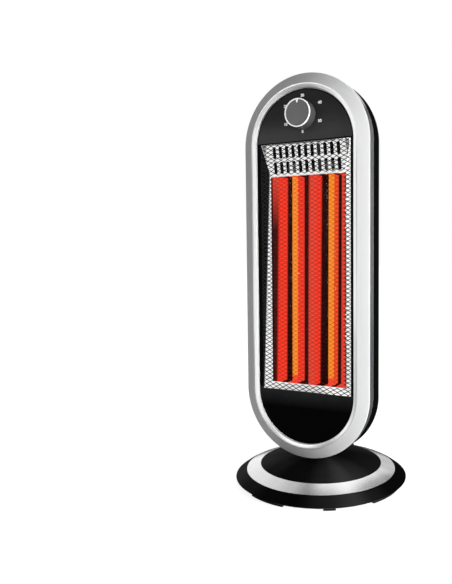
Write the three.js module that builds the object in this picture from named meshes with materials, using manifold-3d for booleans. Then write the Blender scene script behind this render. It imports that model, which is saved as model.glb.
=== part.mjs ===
// An oscillating tower heater with two carbon tubes on a round base.
// Millimetres, +Z up. The origin is the centre of the base on the floor, and the front faces -Y.
import * as THREE from 'three';
import { mergeVertices } from 'three/addons/utils/BufferGeometryUtils.js';
import Module from 'manifold-3d';

const wasm = await Module();
wasm.setup();

// Fits between pieces
const seat = 0.3;            // gap between pieces that touch
const running = 0.5;         // gap round a piece that turns or slides
const overrun = 1;           // how far a cutting tool passes the surface it cuts
const weld = 1e-4;           // corners nearer than this are one corner

// Silver ring round the front. Forward distances are measured from the swivel axis.
const towerGap = 7.3;        // from the base's dome up to the ring
const ringHalfWidth = 101.7;
const ringStraightHalf = 184.4;
const crestForward = 61.2;
const crestInset = 17.2;
const crestRise = 8.6;
const rimDepth = 16.3;
const bevelWidth = 5.6;
const bevelDrop = 2.4;
const ringWall = 2.5;
const ledgeWidth = 3.4;
const ledgeDepth = 2.2;

// Front panel, its window and the fascia round the knob
const panelSetback = 3.6;
const panelThickness = 2.4;
const windowSideMargin = 6.5;
const windowAboveBottom = 100.2;
const windowBelowTop = 99;
const fasciaThickness = 0.8;
const fasciaInset = 1.8;
const fasciaBottomMargin = 1.6;

// Guard of expanded metal
const guardThickness = 0.9;
const guardOverlap = 2.1;
const guardBorder = 3.2;
const guardStrand = 1.5;
const guardColumns = 6;
const guardRows = 13;

// Polished surround behind the guard
const sheetThickness = 0.9;
const chamberSideMargin = 10.4;
const chamberAboveWindow = 10.5;
const chamberBelowWindow = 47;
const surroundDepth = 8;
const ventColumns = 11;
const ventPitch = 10.5;
const ventWidth = 4.7;
const ventHeight = 16;
const ventRowGap = 6;
const ventTopMargin = 4;

// Reflector with two troughs
const reflectorEase = 1.8;
const ridgeWidth = 3.4;
const troughDepth = 28.5;
const troughSteps = 10;
const troughPower = 2.6;

// Carbon tubes with their ceramic caps
const tubeBack = 13;         // from the trough's floor to the tube's axis
const tubeRadius = 6.5;
const tubeBore = 5.2;
const ribbonWidth = 7;
const ribbonThickness = 0.8;
const ribbonTurns = 1;
const ribbonSteps = 32;
const capRadius = 8.5;
const capLength = 18;
const capSocket = 10;
const holderThickness = 1.2;
const holderLip = 2;

// Overheat switch, terminal block and wires
const cutoutRadius = 8;
const cutoutHeight = 9;
const terminalWidth = 24;
const terminalDepth = 16;
const terminalHeight = 14;
const loomRadius = 2.8;
const loomRun = 9;           // how far the wires stand behind the holders
const loomBend = 8.4;
const loomSides = 8;
const loomSteps = 20;

// Knob and its switch
const knobBelowTop = 61.5;
const knobRadius = 20.2;
const knobDepth = 19.5;
const knobGap = 1;
const knobFlare = 0.8;
const knobRimWidth = 2.1;
const knobRimDepth = 2.2;
const knobFaceDepth = 1.6;
const shaftRadius = 3;
const shaftInKnob = 10;
const shaftInSwitch = 9;
const switchWidth = 30;
const switchHeight = 26;
const switchDepth = 22;
const bushRadius = 5;

// Rear casing
const casingInset = 0.5;
const casingWall = 2.5;
const casingSide = 22;       // straight side behind the ring
const casingEdge = 4;        // small rounding where the side turns in
const casingEdgeInset = 0.8;
const casingTaper = 48;
const casingBackInset = 52.6;
const casingTaperPower = 1.5;
const casingTaperSteps = 5;
const casingFlare = 8;       // how much fuller the lower corners are
const spigotLength = 4;
const backVentRows = 7;
const backVentWidth = 64;
const backVentHeight = 3.2;
const backVentPitch = 9;
const backVentFromMiddle = 92;

// Casing screws, in posts that reach forward to the panel
const postAcross = 46;
const postBeyondWindow = 20;
const postRadius = 7;
const postFloor = 3;
const screwHeadRadius = 4;
const screwHeadHeight = 2.4;
const screwShankRadius = 1.9;
const screwGrip = 8;
const bossRadius = 4.6;
const bossLength = 9;

// Neck and swivel
const neckRadius = 27;
const hubRadius = 15.7;
const hubWall = 3.6;
const hubFlange = 4;
const hubFlangeThickness = 3;
const neckSocketWall = 4;
const neckSocketHeight = 36.2;
const armThickness = 3;
const washerThickness = 1.2;
const washerEase = 2.8;
const washerMargin = 2;

// Base shell
const skirtRadius = 134.6;
const skirtLift = 1.1;       // above the base plate
const skirtLip = 2.5;
const skirtTuck = 3.1;       // how far the lip turns in to its lower edge
const skirtWidth = 17;
const skirtRise = 10.4;
const bandWidth = 22.1;
const bandRise = 7.9;
const bandThickness = 1.6;
const domeRise = 13.1;
const domeFlatRadius = 30;
const domeSteps = 5;
const shellWall = 2.5;

// Base plate, feet and base screws
const plateBottom = 3;
const plateThickness = 2.5;
const plateMargin = 4;
const footMargin = 0.5;
const footWidth = 8;
const footAngle = 28;        // degrees round the base
const shortFootAngle = 8;
const footTurn = -15;        // degrees, where the first long foot is
const footCount = 4;
const baseScrewCount = 4;
const baseScrewInset = 13;    // inside the feet
const baseScrewTurn = 45;
const baseScrewHeadHeight = 1.4;
const baseBossRadius = 5;

// Drive of the swivel
const swing = 35;            // degrees each way
const crankThrow = 10;
const crankPinRadius = 2.5;
const crankDiscRadius = 15;
const crankThickness = 3;
const slotEase = 1.9;        // the crank's pin runs off the slot's middle by this much
const slotWall = 5;
const motorRadius = 24.5;
const motorHeight = 15;
const motorNeckRadius = 6;
const motorNeckHeight = 2;
const motorShaftRadius = 3;

// Tip-over switch, at the back of the base
const tipInset = 17.5;        // inside the silver band
const plungerRadius = 3;
const plungerTravel = 4;
const plungerFlangeRadius = 6;
const plungerFlangeThickness = 1.5;
const springRadius = 4.6;
const springWire = 0.5;
const springCurls = 4;
const springLength = 7;
const curlSteps = 8;
const curlSides = 5;
const tipSwitchWidth = 28;
const tipSwitchDepth = 14;
const tipSwitchHeight = 6.5;
const tipSwitchLeg = 4;

// Inlet of the mains lead
const inletRadius = 5;
const inletBore = 3.2;
const inletLength = 22;
const inletLift = 1.1;       // above the base plate

// Facets
const archSteps = 16;
const turnSteps = 48;
const halfTurnSteps = 28;
const smallSteps = 16;
const screwSteps = 10;
const footSteps = 4;

// Places worked out from the sizes
const plateTop = plateBottom + plateThickness;
const skirtBottomRadius = skirtRadius - skirtTuck;
const skirtBottom = plateTop + skirtLift;
const skirtEdgeHeight = skirtBottom + skirtLip;
const bandOuterRadius = skirtRadius - skirtWidth;
const bandOuterHeight = skirtEdgeHeight + skirtRise;
const bandInnerRadius = bandOuterRadius - bandWidth;
const bandInnerHeight = bandOuterHeight + bandRise;
const domeTop = bandInnerHeight + domeRise;
const plateRadius = skirtBottomRadius - plateMargin;
const footOuterRadius = plateRadius - footMargin;
const footInnerRadius = footOuterRadius - footWidth;
const baseScrewCircle = footInnerRadius - baseScrewInset;
const tipDistance = bandInnerRadius - tipInset;
const ringBottom = domeTop + towerGap;
const middle = ringBottom + ringHalfWidth + ringStraightHalf;
const ringTop = middle + ringStraightHalf + ringHalfWidth;
const crestY = -crestForward;
const rimFrontY = crestY + crestRise;
const rimBackY = rimFrontY + rimDepth;
const bevelY = crestY + bevelDrop;
const openingHalf = ringHalfWidth - crestInset - bevelWidth;
const panelFrontY = bevelY + panelSetback;
const panelBackY = panelFrontY + panelThickness;
const ledgeY = panelBackY + seat;
const ledgeHalf = openingHalf - ledgeWidth;
const panelHalf = openingHalf - seat;
const knobHeight = ringTop - knobBelowTop;
const windowHalfWidth = openingHalf - windowSideMargin;
const windowBottom = ringBottom + windowAboveBottom;
const windowTop = ringTop - windowBelowTop;
const windowMiddle = (windowTop + windowBottom) / 2;
const guardHalf = windowHalfWidth + guardOverlap;
const guardTop = windowTop + guardOverlap;
const guardBottom = windowBottom - guardOverlap;
const guardFrontY = panelBackY + seat;
const guardBackY = guardFrontY + guardThickness;
const chamberHalfWidth = windowHalfWidth - chamberSideMargin;
const chamberBottom = windowBottom + chamberAboveWindow;
const chamberTop = windowTop - chamberBelowWindow;
const surroundFrontY = guardBackY + seat;
const chamberY = surroundFrontY + surroundDepth;
const reflectorRimY = chamberY + sheetThickness + seat;
const troughFloorY = reflectorRimY + troughDepth;
const troughOuter = chamberHalfWidth - reflectorEase - sheetThickness;
const troughHalfWidth = (troughOuter - ridgeWidth / 2) / 2;
const tubeX = (troughOuter + ridgeWidth / 2) / 2;
const tubeY = troughFloorY - tubeBack;
const holderBackY = troughFloorY + sheetThickness + holderLip;
const upperHolder = chamberTop + seat;
const lowerHolder = chamberBottom - seat;
const upperCap = upperHolder + holderThickness + seat;
const lowerCap = lowerHolder - holderThickness - seat;
const tubeTop = upperCap + capSocket - seat;
const tubeBottom = lowerCap - capSocket + seat;
const casingFrontY = rimBackY + seat;
const casingHalf = ringHalfWidth - casingInset;
const casingSideY = casingFrontY + casingSide;
const casingTaperY = casingSideY + casingEdge;
const casingBackY = casingTaperY + casingTaper;
const postHeights = [windowBottom - postBeyondWindow, windowTop + postBeyondWindow];
const postFrontY = panelBackY + bossLength + seat;
const screwHeadY = postFrontY + postFloor;
const washerBottom = domeTop + seat;
const neckBottom = washerBottom + washerThickness + seat;
const neckSocketTop = ringBottom + neckSocketHeight;
const hubTop = neckSocketTop + seat + hubFlangeThickness;
const armTop = domeTop - shellWall - seat - crankPinRadius;
const hubBottom = armTop + seat;
const armBottom = armTop - armThickness;
const motorDistance = crankThrow / Math.sin(THREE.MathUtils.degToRad(swing));
const motorBottom = plateTop + seat;
const motorTop = motorBottom + motorHeight;
const crankBottom = motorTop + motorNeckHeight + seat;
const plungerFlange = plateTop + running + plungerTravel;
const springBottom = plungerFlange + plungerFlangeThickness + seat;
const tipSwitchBottom = springBottom + springLength + seat;
const inletHeight = plateTop + inletLift + inletRadius;

const parts = new THREE.Group();

// Adds a named piece with its own material.
function add(name, body, finish) {
  const mesh = new THREE.Mesh(shape(body), new THREE.MeshStandardMaterial(finish));
  mesh.name = name;
  parts.add(mesh);
}

// Turns a closed geometry into a solid, with its faces pointing out.
function solid(geometry) {
  const bare = geometry.clone();
  bare.deleteAttribute('normal');
  bare.deleteAttribute('uv');
  const merged = mergeVertices(bare, weld);
  const corners = Array.from(merged.index.array);
  const points = merged.attributes.position.array;
  const faces = [];
  for (let i = 0; i < corners.length; i += 3) {
    const [a, b, c] = corners.slice(i, i + 3);
    if (a !== b && b !== c && c !== a) faces.push([a, b, c]);
  }
  const point = (index) => new THREE.Vector3().fromArray(points, index * 3);
  const volume = faces.reduce((sum, [a, b, c]) => sum + point(a).dot(point(b).cross(point(c))), 0);
  const triangles = volume < 0 ? faces.map(([a, b, c]) => [a, c, b]) : faces;
  return new wasm.Manifold(new wasm.Mesh({
    numProp: 3,
    vertProperties: new Float32Array(points),
    triVerts: new Uint32Array(triangles.flat()),
  }));
}

// Turns a solid back into a geometry.
function shape(body) {
  const mesh = body.getMesh();
  const geometry = new THREE.BufferGeometry();
  geometry.setAttribute('position', new THREE.BufferAttribute(mesh.vertProperties, 3));
  geometry.setIndex(new THREE.BufferAttribute(mesh.triVerts, 1));
  geometry.computeVertexNormals();
  return geometry;
}

const join = (bodies) => bodies.reduce((all, body) => all.add(body));
const cut = (body, tools) => tools.reduce((rest, tool) => rest.subtract(tool), body);

// A box from its low corner to its high corner.
function box([x0, y0, z0], [x1, y1, z1]) {
  const geometry = new THREE.BoxGeometry(x1 - x0, y1 - y0, z1 - z0);
  return solid(geometry.translate((x0 + x1) / 2, (y0 + y1) / 2, (z0 + z1) / 2));
}

// A cylinder along Z.
function rod(x, y, z0, z1, radius, steps = smallSteps) {
  const geometry = new THREE.CylinderGeometry(radius, radius, z1 - z0, steps);
  return solid(geometry.rotateX(Math.PI / 2).translate(x, y, (z0 + z1) / 2));
}

// A cylinder along Y.
function rodY(x, z, y0, y1, radius, steps = smallSteps) {
  const geometry = new THREE.CylinderGeometry(radius, radius, y1 - y0, steps);
  return solid(geometry.translate(x, (y0 + y1) / 2, z));
}

// A piece turned about Z from a closed outline of [radius, height] points.
function turned(outline, steps = turnSteps) {
  const points = [...outline, outline[0]].map(([radius, height]) => new THREE.Vector2(radius, height));
  return solid(new THREE.LatheGeometry(points, steps).rotateX(Math.PI / 2));
}

function extruded(outline, depth) {
  const options = { depth, bevelEnabled: false, curveSegments: footSteps };
  return new THREE.ExtrudeGeometry(outline, options);
}

// A flat outline in X and Z, with its thickness along Y.
const plateY = (outline, y0, y1) => (
  solid(extruded(outline, y1 - y0).rotateX(Math.PI / 2).translate(0, y1, 0)));

// A flat outline in X and Y, with its thickness along Z.
const plateZ = (outline, z0, z1) => solid(extruded(outline, z1 - z0).translate(0, 0, z0));

const polygon = (points) => new THREE.Shape(points.map(([x, y]) => new THREE.Vector2(x, y)));

function rectangle(halfWidth, low, high) {
  return [[-halfWidth, low], [halfWidth, low], [halfWidth, high], [-halfWidth, high]];
}

// The tower's round-ended outline at one half-width, as [x, z] points. flare fills its lower corners.
function towerOutline(half, flare = 0) {
  const points = [];
  for (let i = 0; i <= archSteps; i += 1) {
    const angle = (Math.PI * i) / archSteps;
    points.push([half * Math.cos(angle), middle + ringStraightHalf + half * Math.sin(angle)]);
  }
  for (let i = 0; i <= archSteps; i += 1) {
    const angle = (Math.PI * i) / archSteps;
    const drop = (half - flare) * Math.sin(angle);
    points.push([-half * Math.cos(angle), middle - ringStraightHalf - flare - drop]);
  }
  return points;
}

// Skins a row of outlines, each an array of points, with flat ends or closed on itself.
function skin(rings, closed) {
  const count = rings[0].length;
  const last = closed ? rings.length : rings.length - 1;
  const indices = [];
  for (let i = 0; i < last; i += 1) {
    const low = i * count;
    const high = ((i + 1) % rings.length) * count;
    for (let j = 0; j < count; j += 1) {
      const next = (j + 1) % count;
      indices.push(low + j, low + next, high + next, low + j, high + next, high + j);
    }
  }
  if (!closed) {
    const top = (rings.length - 1) * count;
    for (let j = 1; j < count - 1; j += 1) {
      indices.push(0, j + 1, j, top, top + j, top + j + 1);
    }
  }
  const geometry = new THREE.BufferGeometry();
  geometry.setAttribute('position', new THREE.Float32BufferAttribute(rings.flat(2), 3));
  geometry.setIndex(indices);
  return solid(geometry);
}

// Skins tower outlines through [half-width, y, flare] stations.
function towerSkin(stations, closed = false) {
  const ring = ([half, y, flare]) => towerOutline(half, flare).map(([x, z]) => [x, y, z]);
  return skin(stations.map(ring), closed);
}

function ringOfTower() {
  const outer = ringHalfWidth;
  const crest = outer - crestInset;
  return towerSkin([
    [outer, rimBackY],
    [outer, rimFrontY],
    [crest, crestY],
    [openingHalf, bevelY],
    [openingHalf, ledgeY],
    [ledgeHalf, ledgeY],
    [ledgeHalf, ledgeY + ledgeDepth],
    [openingHalf + ringWall, ledgeY + ledgeDepth],
    [openingHalf + ringWall, bevelY + ringWall],
    [crest, crestY + ringWall],
    [outer - ringWall, rimFrontY + ringWall],
    [outer - ringWall, rimBackY],
  ], true);
}

const postPlaces = [-postAcross, postAcross].flatMap((x) => postHeights.map((z) => [x, z]));

function frontPanel() {
  const outline = polygon(towerOutline(panelHalf));
  outline.holes.push(polygon(rectangle(windowHalfWidth, windowBottom, windowTop)));
  const plate = plateY(outline, panelFrontY, panelBackY);
  const bossEnd = panelBackY + bossLength;
  const bosses = postPlaces.map(([x, z]) => rodY(x, z, panelBackY - seat, bossEnd, bossRadius));
  const pilots = postPlaces.map(([x, z]) => (
    rodY(x, z, panelBackY, bossEnd + overrun, screwShankRadius + seat)));
  const shaftHole = rodY(0, knobHeight, panelFrontY - overrun, panelBackY + overrun, bushRadius + seat);
  return cut(join([plate, ...bosses]), [...pilots, shaftHole]);
}

function fascia() {
  const back = panelFrontY - seat;
  const plate = plateY(polygon(towerOutline(openingHalf - fasciaInset)), back - fasciaThickness, back);
  const lower = box(
    [-ringHalfWidth, back - fasciaThickness - overrun, ringBottom],
    [ringHalfWidth, back + overrun, windowTop + fasciaBottomMargin]);
  const hole = rodY(0, knobHeight, back - fasciaThickness - overrun, back + overrun, bushRadius + seat);
  return cut(plate, [lower, hole]);
}

// Expanded metal: whole diamonds in two staggered sets, and half diamonds along the border.
function guard() {
  const width = 2 * (guardHalf - guardBorder);
  const low = guardBottom + guardBorder;
  const height = guardTop - guardBorder - low;
  const cellWidth = width / guardColumns;
  const cellHeight = height / guardRows;
  const halfWidth = cellWidth / 2 - guardStrand;
  const halfHeight = cellHeight / 2 - guardStrand;
  const gaps = [];
  for (let row = 0; row <= 2 * guardRows; row += 1) {
    for (let column = row % 2; column <= 2 * guardColumns; column += 2) {
      const x = -width / 2 + (column * cellWidth) / 2;
      const z = low + (row * cellHeight) / 2;
      const left = column === 0 ? 0 : halfWidth;
      const right = column === 2 * guardColumns ? 0 : halfWidth;
      const down = row === 0 ? 0 : halfHeight;
      const up = row === 2 * guardRows ? 0 : halfHeight;
      const corners = [[x - left, z], [x, z - down], [x + right, z], [x, z + up]];
      const kept = corners.filter(([a, b]) => a !== x || b !== z);
      if (kept.length > 2) gaps.push(plateY(polygon(kept), guardFrontY - overrun, guardBackY + overrun));
    }
  }
  return cut(plateY(polygon(rectangle(guardHalf, guardBottom, guardTop)), guardFrontY, guardBackY), gaps);
}

// The surround: a flat rim, then four slopes that lead in to the chamber.
function surround() {
  const rim = (half, low, high, y) => rectangle(half, low, high).map(([x, z]) => [x, y, z]);
  const slopeY = surroundFrontY + sheetThickness;
  const frame = skin([
    rim(guardHalf, guardBottom, guardTop, surroundFrontY),
    rim(windowHalfWidth, windowBottom, windowTop, surroundFrontY),
    rim(chamberHalfWidth, chamberBottom, chamberTop, chamberY),
    rim(chamberHalfWidth, chamberBottom, chamberTop, chamberY + sheetThickness),
    rim(windowHalfWidth, windowBottom, windowTop, slopeY),
    rim(guardHalf, guardBottom, guardTop, slopeY),
  ], true);
  const slots = [];
  for (let row = 0; row < 2; row += 1) {
    const top = windowTop - ventTopMargin - row * (ventHeight + ventRowGap);
    for (let column = 0; column < ventColumns; column += 1) {
      const x = (column - (ventColumns - 1) / 2) * ventPitch;
      slots.push(box(
        [x - ventWidth / 2, surroundFrontY - overrun, top - ventHeight],
        [x + ventWidth / 2, chamberY + sheetThickness + overrun, top]));
    }
  }
  return cut(frame, slots);
}

// A trough's line across, from rim to rim, for one side of the sheet.
function troughLine(centre, half, floorY) {
  const points = [];
  for (let i = 0; i <= troughSteps; i += 1) {
    const share = (2 * i) / troughSteps - 1;
    points.push([centre + half * share, floorY - troughDepth * Math.abs(share) ** troughPower]);
  }
  return points;
}

function reflector() {
  const outerHalf = troughHalfWidth + sheetThickness;
  const backY = troughFloorY + sheetThickness;
  const front = [-tubeX, tubeX].flatMap((centre) => troughLine(centre, troughHalfWidth, troughFloorY));
  const back = [-tubeX, tubeX].flatMap((centre) => troughLine(centre, outerHalf, backY));
  return plateZ(polygon([...front, ...back.reverse()]), chamberBottom, chamberTop);
}

function holder(low) {
  const outline = polygon([
    [-chamberHalfWidth, reflectorRimY],
    [chamberHalfWidth, reflectorRimY],
    [chamberHalfWidth, holderBackY],
    [-chamberHalfWidth, holderBackY],
  ]);
  const holes = [-tubeX, tubeX].map((x) => (
    rod(x, tubeY, low - overrun, low + holderThickness + overrun, tubeRadius + running)));
  return cut(plateZ(outline, low, low + holderThickness), holes);
}

function quartzTube(x) {
  const outer = rod(x, tubeY, tubeBottom, tubeTop, tubeRadius);
  return cut(outer, [rod(x, tubeY, tubeBottom - overrun, tubeTop + overrun, tubeBore)]);
}

// A flat ribbon of carbon, lightly twisted along the tube.
function ribbon(x) {
  const corners = rectangle(ribbonWidth / 2, -ribbonThickness / 2, ribbonThickness / 2);
  const rings = [];
  for (let i = 0; i <= ribbonSteps; i += 1) {
    const angle = (2 * Math.PI * ribbonTurns * i) / ribbonSteps;
    const z = tubeBottom + ((tubeTop - tubeBottom) * i) / ribbonSteps;
    rings.push(corners.map(([a, b]) => [
      x + a * Math.cos(angle) - b * Math.sin(angle),
      tubeY + a * Math.sin(angle) + b * Math.cos(angle),
      z,
    ]));
  }
  return skin(rings, false);
}

// A ceramic cap: its socket takes the tube's end. up is 1 above the chamber and -1 below it.
function ceramicCap(x, inner, up) {
  const ends = [inner, inner + up * capLength].sort((a, b) => a - b);
  const socket = [inner - up * overrun, inner + up * capSocket].sort((a, b) => a - b);
  const body = rod(x, tubeY, ends[0], ends[1], capRadius);
  return cut(body, [rod(x, tubeY, socket[0], socket[1], tubeRadius + seat)]);
}

const knobFrontY = panelFrontY - fasciaThickness - seat - knobGap - knobDepth;
const knobBackY = knobFrontY + knobDepth;
const switchFrontY = panelBackY + seat;
const switchBackY = switchFrontY + switchDepth;

// Turned about the knob's own axis, from [radius, distance behind the knob's front] points.
function turnedAtKnob(outline) {
  const points = [...outline, outline[0]];
  const corners = points.map(([radius, back]) => new THREE.Vector2(radius, knobFrontY + back));
  return solid(new THREE.LatheGeometry(corners, halfTurnSteps).translate(0, 0, knobHeight));
}

function knob() {
  const step = knobRimDepth + seat;
  const faceStep = knobFaceDepth + seat;
  const rimInner = knobRadius - knobRimWidth;
  const outline = [
    [0, faceStep],
    [rimInner - knobFaceDepth, faceStep],
    [rimInner - knobFaceDepth, step],
    [knobRadius, step],
    [knobRadius + knobFlare, knobDepth],
    [0, knobDepth],
  ];
  const socket = rodY(0, knobHeight, knobBackY - shaftInKnob, knobBackY + overrun, shaftRadius + seat);
  return cut(turnedAtKnob(outline), [socket]);
}

function knobRim() {
  const inner = knobRadius - knobRimWidth;
  return turnedAtKnob([
    [inner, 0],
    [knobRadius, 0],
    [knobRadius, knobRimDepth],
    [inner, knobRimDepth],
  ]);
}

function knobFace() {
  const radius = knobRadius - knobRimWidth - seat;
  const inner = radius - knobFaceDepth - seat;
  return turnedAtKnob([[0, 0], [radius, 0], [inner, knobFaceDepth], [0, knobFaceDepth]]);
}

function rotarySwitch() {
  const low = knobHeight - switchHeight / 2;
  const body = box(
    [-switchWidth / 2, switchFrontY, low],
    [switchWidth / 2, switchBackY, low + switchHeight]);
  const bush = rodY(0, knobHeight, panelFrontY, switchFrontY + overrun, bushRadius);
  const bore = rodY(0, knobHeight, panelFrontY - overrun, switchFrontY + shaftInSwitch, shaftRadius + seat);
  return cut(body.add(bush), [bore]);
}

const switchShaft = () => (
  rodY(0, knobHeight, knobBackY - shaftInKnob + seat, switchFrontY + shaftInSwitch - seat, shaftRadius));

const terminalBlock = () => box(
  [-terminalWidth / 2, tubeY - terminalDepth / 2, lowerCap - terminalHeight],
  [terminalWidth / 2, tubeY + terminalDepth / 2, lowerCap]);

// Wires from the terminal block up behind the reflector to the switch.
function loom() {
  const low = lowerCap - terminalHeight / 2;
  const high = knobHeight - switchHeight / 4;
  const run = holderBackY + loomRun;
  const path = new THREE.CatmullRomCurve3([
    [tubeY + terminalDepth / 2 + seat, low],
    [run - loomBend, low],
    [run, low + loomBend],
    [run, windowMiddle],
    [run, high - loomBend],
    [run - loomBend, high],
    [switchBackY + seat, high],
  ].map(([y, z]) => new THREE.Vector3(0, y, z)), false, 'centripetal');
  const section = new THREE.Shape();
  section.absarc(0, 0, loomRadius, 0, Math.PI * 2);
  const options = { extrudePath: path, steps: loomSteps, curveSegments: loomSides / 2 };
  return solid(new THREE.ExtrudeGeometry(section, options));
}

// Stations down the casing's outside, moved in by a wall when asked.
function casingStations(inset) {
  const stations = [
    [casingHalf - inset, casingFrontY, 0],
    [casingHalf - inset, casingSideY, casingFlare],
  ];
  for (let i = 0; i <= casingTaperSteps; i += 1) {
    const share = i / casingTaperSteps;
    const half = casingHalf - casingEdgeInset - casingBackInset * share ** casingTaperPower;
    stations.push([half - inset, casingTaperY + (casingTaper - inset) * share, casingFlare]);
  }
  return stations;
}

const casingEnvelope = (grow) => towerSkin(casingStations(-grow));

function rearCasing() {
  const spigotHalf = ringHalfWidth - ringWall - seat;
  const spigotY = casingFrontY - spigotLength;
  const outside = join([
    casingEnvelope(0),
    towerSkin([[spigotHalf, spigotY, 0], [spigotHalf, casingFrontY + overrun, 0]]),
  ]);
  const innerHalf = spigotHalf - casingWall;
  const hollow = join([
    towerSkin([[innerHalf, spigotY - overrun, 0], [innerHalf, casingFrontY + overrun, 0]]),
    towerSkin([[innerHalf, casingFrontY, 0], ...casingStations(casingWall).slice(1)]),
  ]);
  const solids = [];
  const holes = [];
  const headHole = screwHeadRadius + running;
  const shankHole = screwShankRadius + running;
  for (const [x, z] of postPlaces) {
    solids.push(rodY(x, z, postFrontY, casingBackY, postRadius));
    holes.push(rodY(x, z, screwHeadY, casingBackY + overrun, headHole, screwSteps));
    holes.push(rodY(x, z, postFrontY - overrun, screwHeadY + overrun, shankHole, screwSteps));
  }
  const socket = hubRadius + seat;
  solids.push(rod(0, 0, ringBottom, neckSocketTop, socket + neckSocketWall, halfTurnSteps));
  holes.push(rod(0, 0, ringBottom - overrun, neckSocketTop + overrun, socket, halfTurnSteps));
  for (const end of [-1, 1]) {
    for (let row = 0; row < backVentRows; row += 1) {
      const z = middle + end * backVentFromMiddle + (row - (backVentRows - 1) / 2) * backVentPitch;
      holes.push(box(
        [-backVentWidth / 2, casingBackY - casingWall - overrun, z - backVentHeight / 2],
        [backVentWidth / 2, casingBackY + overrun, z + backVentHeight / 2]));
    }
  }
  const reach = towerSkin([[casingHalf, panelBackY, 0], ...casingStations(0)]);
  const trimmed = join(solids).intersect(reach);
  return cut(cut(outside, [hollow]).add(trimmed), holes);
}

function casingScrew(x, z) {
  const low = screwHeadY + seat;
  const head = rodY(x, z, low, low + screwHeadHeight, screwHeadRadius, screwSteps);
  return head.add(rodY(x, z, postFrontY - screwGrip, low + overrun, screwShankRadius, screwSteps));
}

// The collar's top takes the shape of the casing that stands in it.
function neckCollar() {
  const body = rod(0, 0, neckBottom, neckSocketTop, neckRadius, halfTurnSteps);
  const bore = rod(0, 0, neckBottom - overrun, neckSocketTop + overrun, hubRadius + seat, halfTurnSteps);
  return cut(body, [casingEnvelope(seat), bore]);
}

const hub = () => turned([
  [hubRadius - hubWall, hubBottom],
  [hubRadius, hubBottom],
  [hubRadius, neckSocketTop + seat],
  [hubRadius + hubFlange, neckSocketTop + seat],
  [hubRadius + hubFlange, hubTop],
  [hubRadius - hubWall, hubTop],
], halfTurnSteps);

// The arm under the hub. The crank's pin runs in its slot.
function swivelArm() {
  const near = motorDistance * Math.cos(THREE.MathUtils.degToRad(swing));
  const far = motorDistance + crankThrow;
  const slotHalf = crankPinRadius + slotEase + seat;
  const outer = slotHalf + slotWall;
  const disc = rod(0, 0, armBottom, armTop, hubRadius + slotWall, halfTurnSteps);
  const tongue = join([
    box([-far, -outer, armBottom], [0, outer, armTop]),
    rod(-far, 0, armBottom, armTop, outer),
  ]);
  const slot = join([
    box([-far, -slotHalf, armBottom - overrun], [-near, slotHalf, armTop + overrun]),
    rod(-far, 0, armBottom - overrun, armTop + overrun, slotHalf),
    rod(-near, 0, armBottom - overrun, armTop + overrun, slotHalf),
  ]);
  return cut(disc.add(tongue), [slot]);
}

const baseScrewPlaces = [];
for (let index = 0; index < baseScrewCount; index += 1) {
  const angle = THREE.MathUtils.degToRad(baseScrewTurn + (360 * index) / baseScrewCount);
  baseScrewPlaces.push([baseScrewCircle * Math.cos(angle), baseScrewCircle * Math.sin(angle)]);
}

// Height of the base shell's outside at one radius.
function domeHeight(radius) {
  const share = Math.max(0, radius - domeFlatRadius) / (bandInnerRadius - domeFlatRadius);
  return domeTop - (domeTop - bandInnerHeight) * share ** 2;
}

// Height of the silver band at one radius.
function bandHeight(radius) {
  const slope = (bandInnerHeight - bandOuterHeight) / (bandOuterRadius - bandInnerRadius);
  return bandOuterHeight + slope * (bandOuterRadius - radius);
}

// The dome's line from the band in to its flat top, dropped by a wall when asked.
function domeLine(drop) {
  const points = [];
  for (let i = 0; i <= domeSteps; i += 1) {
    const radius = bandInnerRadius + ((domeFlatRadius - bandInnerRadius) * i) / domeSteps;
    points.push([radius, domeHeight(radius) - drop]);
  }
  return points;
}

// The shell in section: out along the skirt, up over the seat of the band and the dome, and back inside.
function baseCover() {
  const hole = hubRadius + running;
  const seatDepth = bandThickness + seat;
  const under = seatDepth + shellWall;
  const outside = [
    [skirtBottomRadius, skirtBottom],
    [skirtRadius, skirtEdgeHeight],
    [bandOuterRadius + seat, bandOuterHeight],
    [bandOuterRadius + seat, bandOuterHeight - seatDepth],
    [bandInnerRadius - seat, bandInnerHeight - seatDepth],
    [bandInnerRadius - seat, bandInnerHeight],
    ...domeLine(0).slice(1),
    [hole, domeTop],
  ];
  const inside = [
    [hole, domeTop - shellWall],
    ...domeLine(shellWall).slice(1).reverse(),
    [bandInnerRadius - seat, bandInnerHeight - under],
    [bandOuterRadius, bandOuterHeight - under],
    [skirtBottomRadius - shellWall, skirtEdgeHeight],
    [skirtBottomRadius - shellWall, skirtBottom],
  ];
  const bossTop = bandHeight(baseScrewCircle + baseBossRadius) - seatDepth - seat;
  const bosses = baseScrewPlaces.map(([x, y]) => (
    rod(x, y, plateTop + seat, bossTop, baseBossRadius, screwSteps)));
  const pilots = baseScrewPlaces.map(([x, y]) => (
    rod(x, y, plateBottom, plateTop + screwGrip + seat, screwShankRadius + seat, screwSteps)));
  const inletHole = inletRadius + seat;
  const inlet = rodY(0, inletHeight, skirtRadius - inletLength, skirtRadius + overrun, inletHole);
  return cut(join([turned([...outside, ...inside]), ...bosses]), [...pilots, inlet]);
}

const baseBand = () => turned([
  [bandOuterRadius, bandOuterHeight],
  [bandInnerRadius, bandInnerHeight],
  [bandInnerRadius, bandInnerHeight - bandThickness],
  [bandOuterRadius, bandOuterHeight - bandThickness],
]);

function basePlate() {
  const disc = rod(0, 0, plateBottom, plateTop, plateRadius, turnSteps);
  const holes = baseScrewPlaces.map(([x, y]) => (
    rod(x, y, plateBottom - overrun, plateTop + overrun, screwShankRadius + running, screwSteps)));
  holes.push(rod(0, tipDistance, plateBottom - overrun, plateTop + overrun, plungerRadius + running));
  return cut(disc, holes);
}

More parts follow.
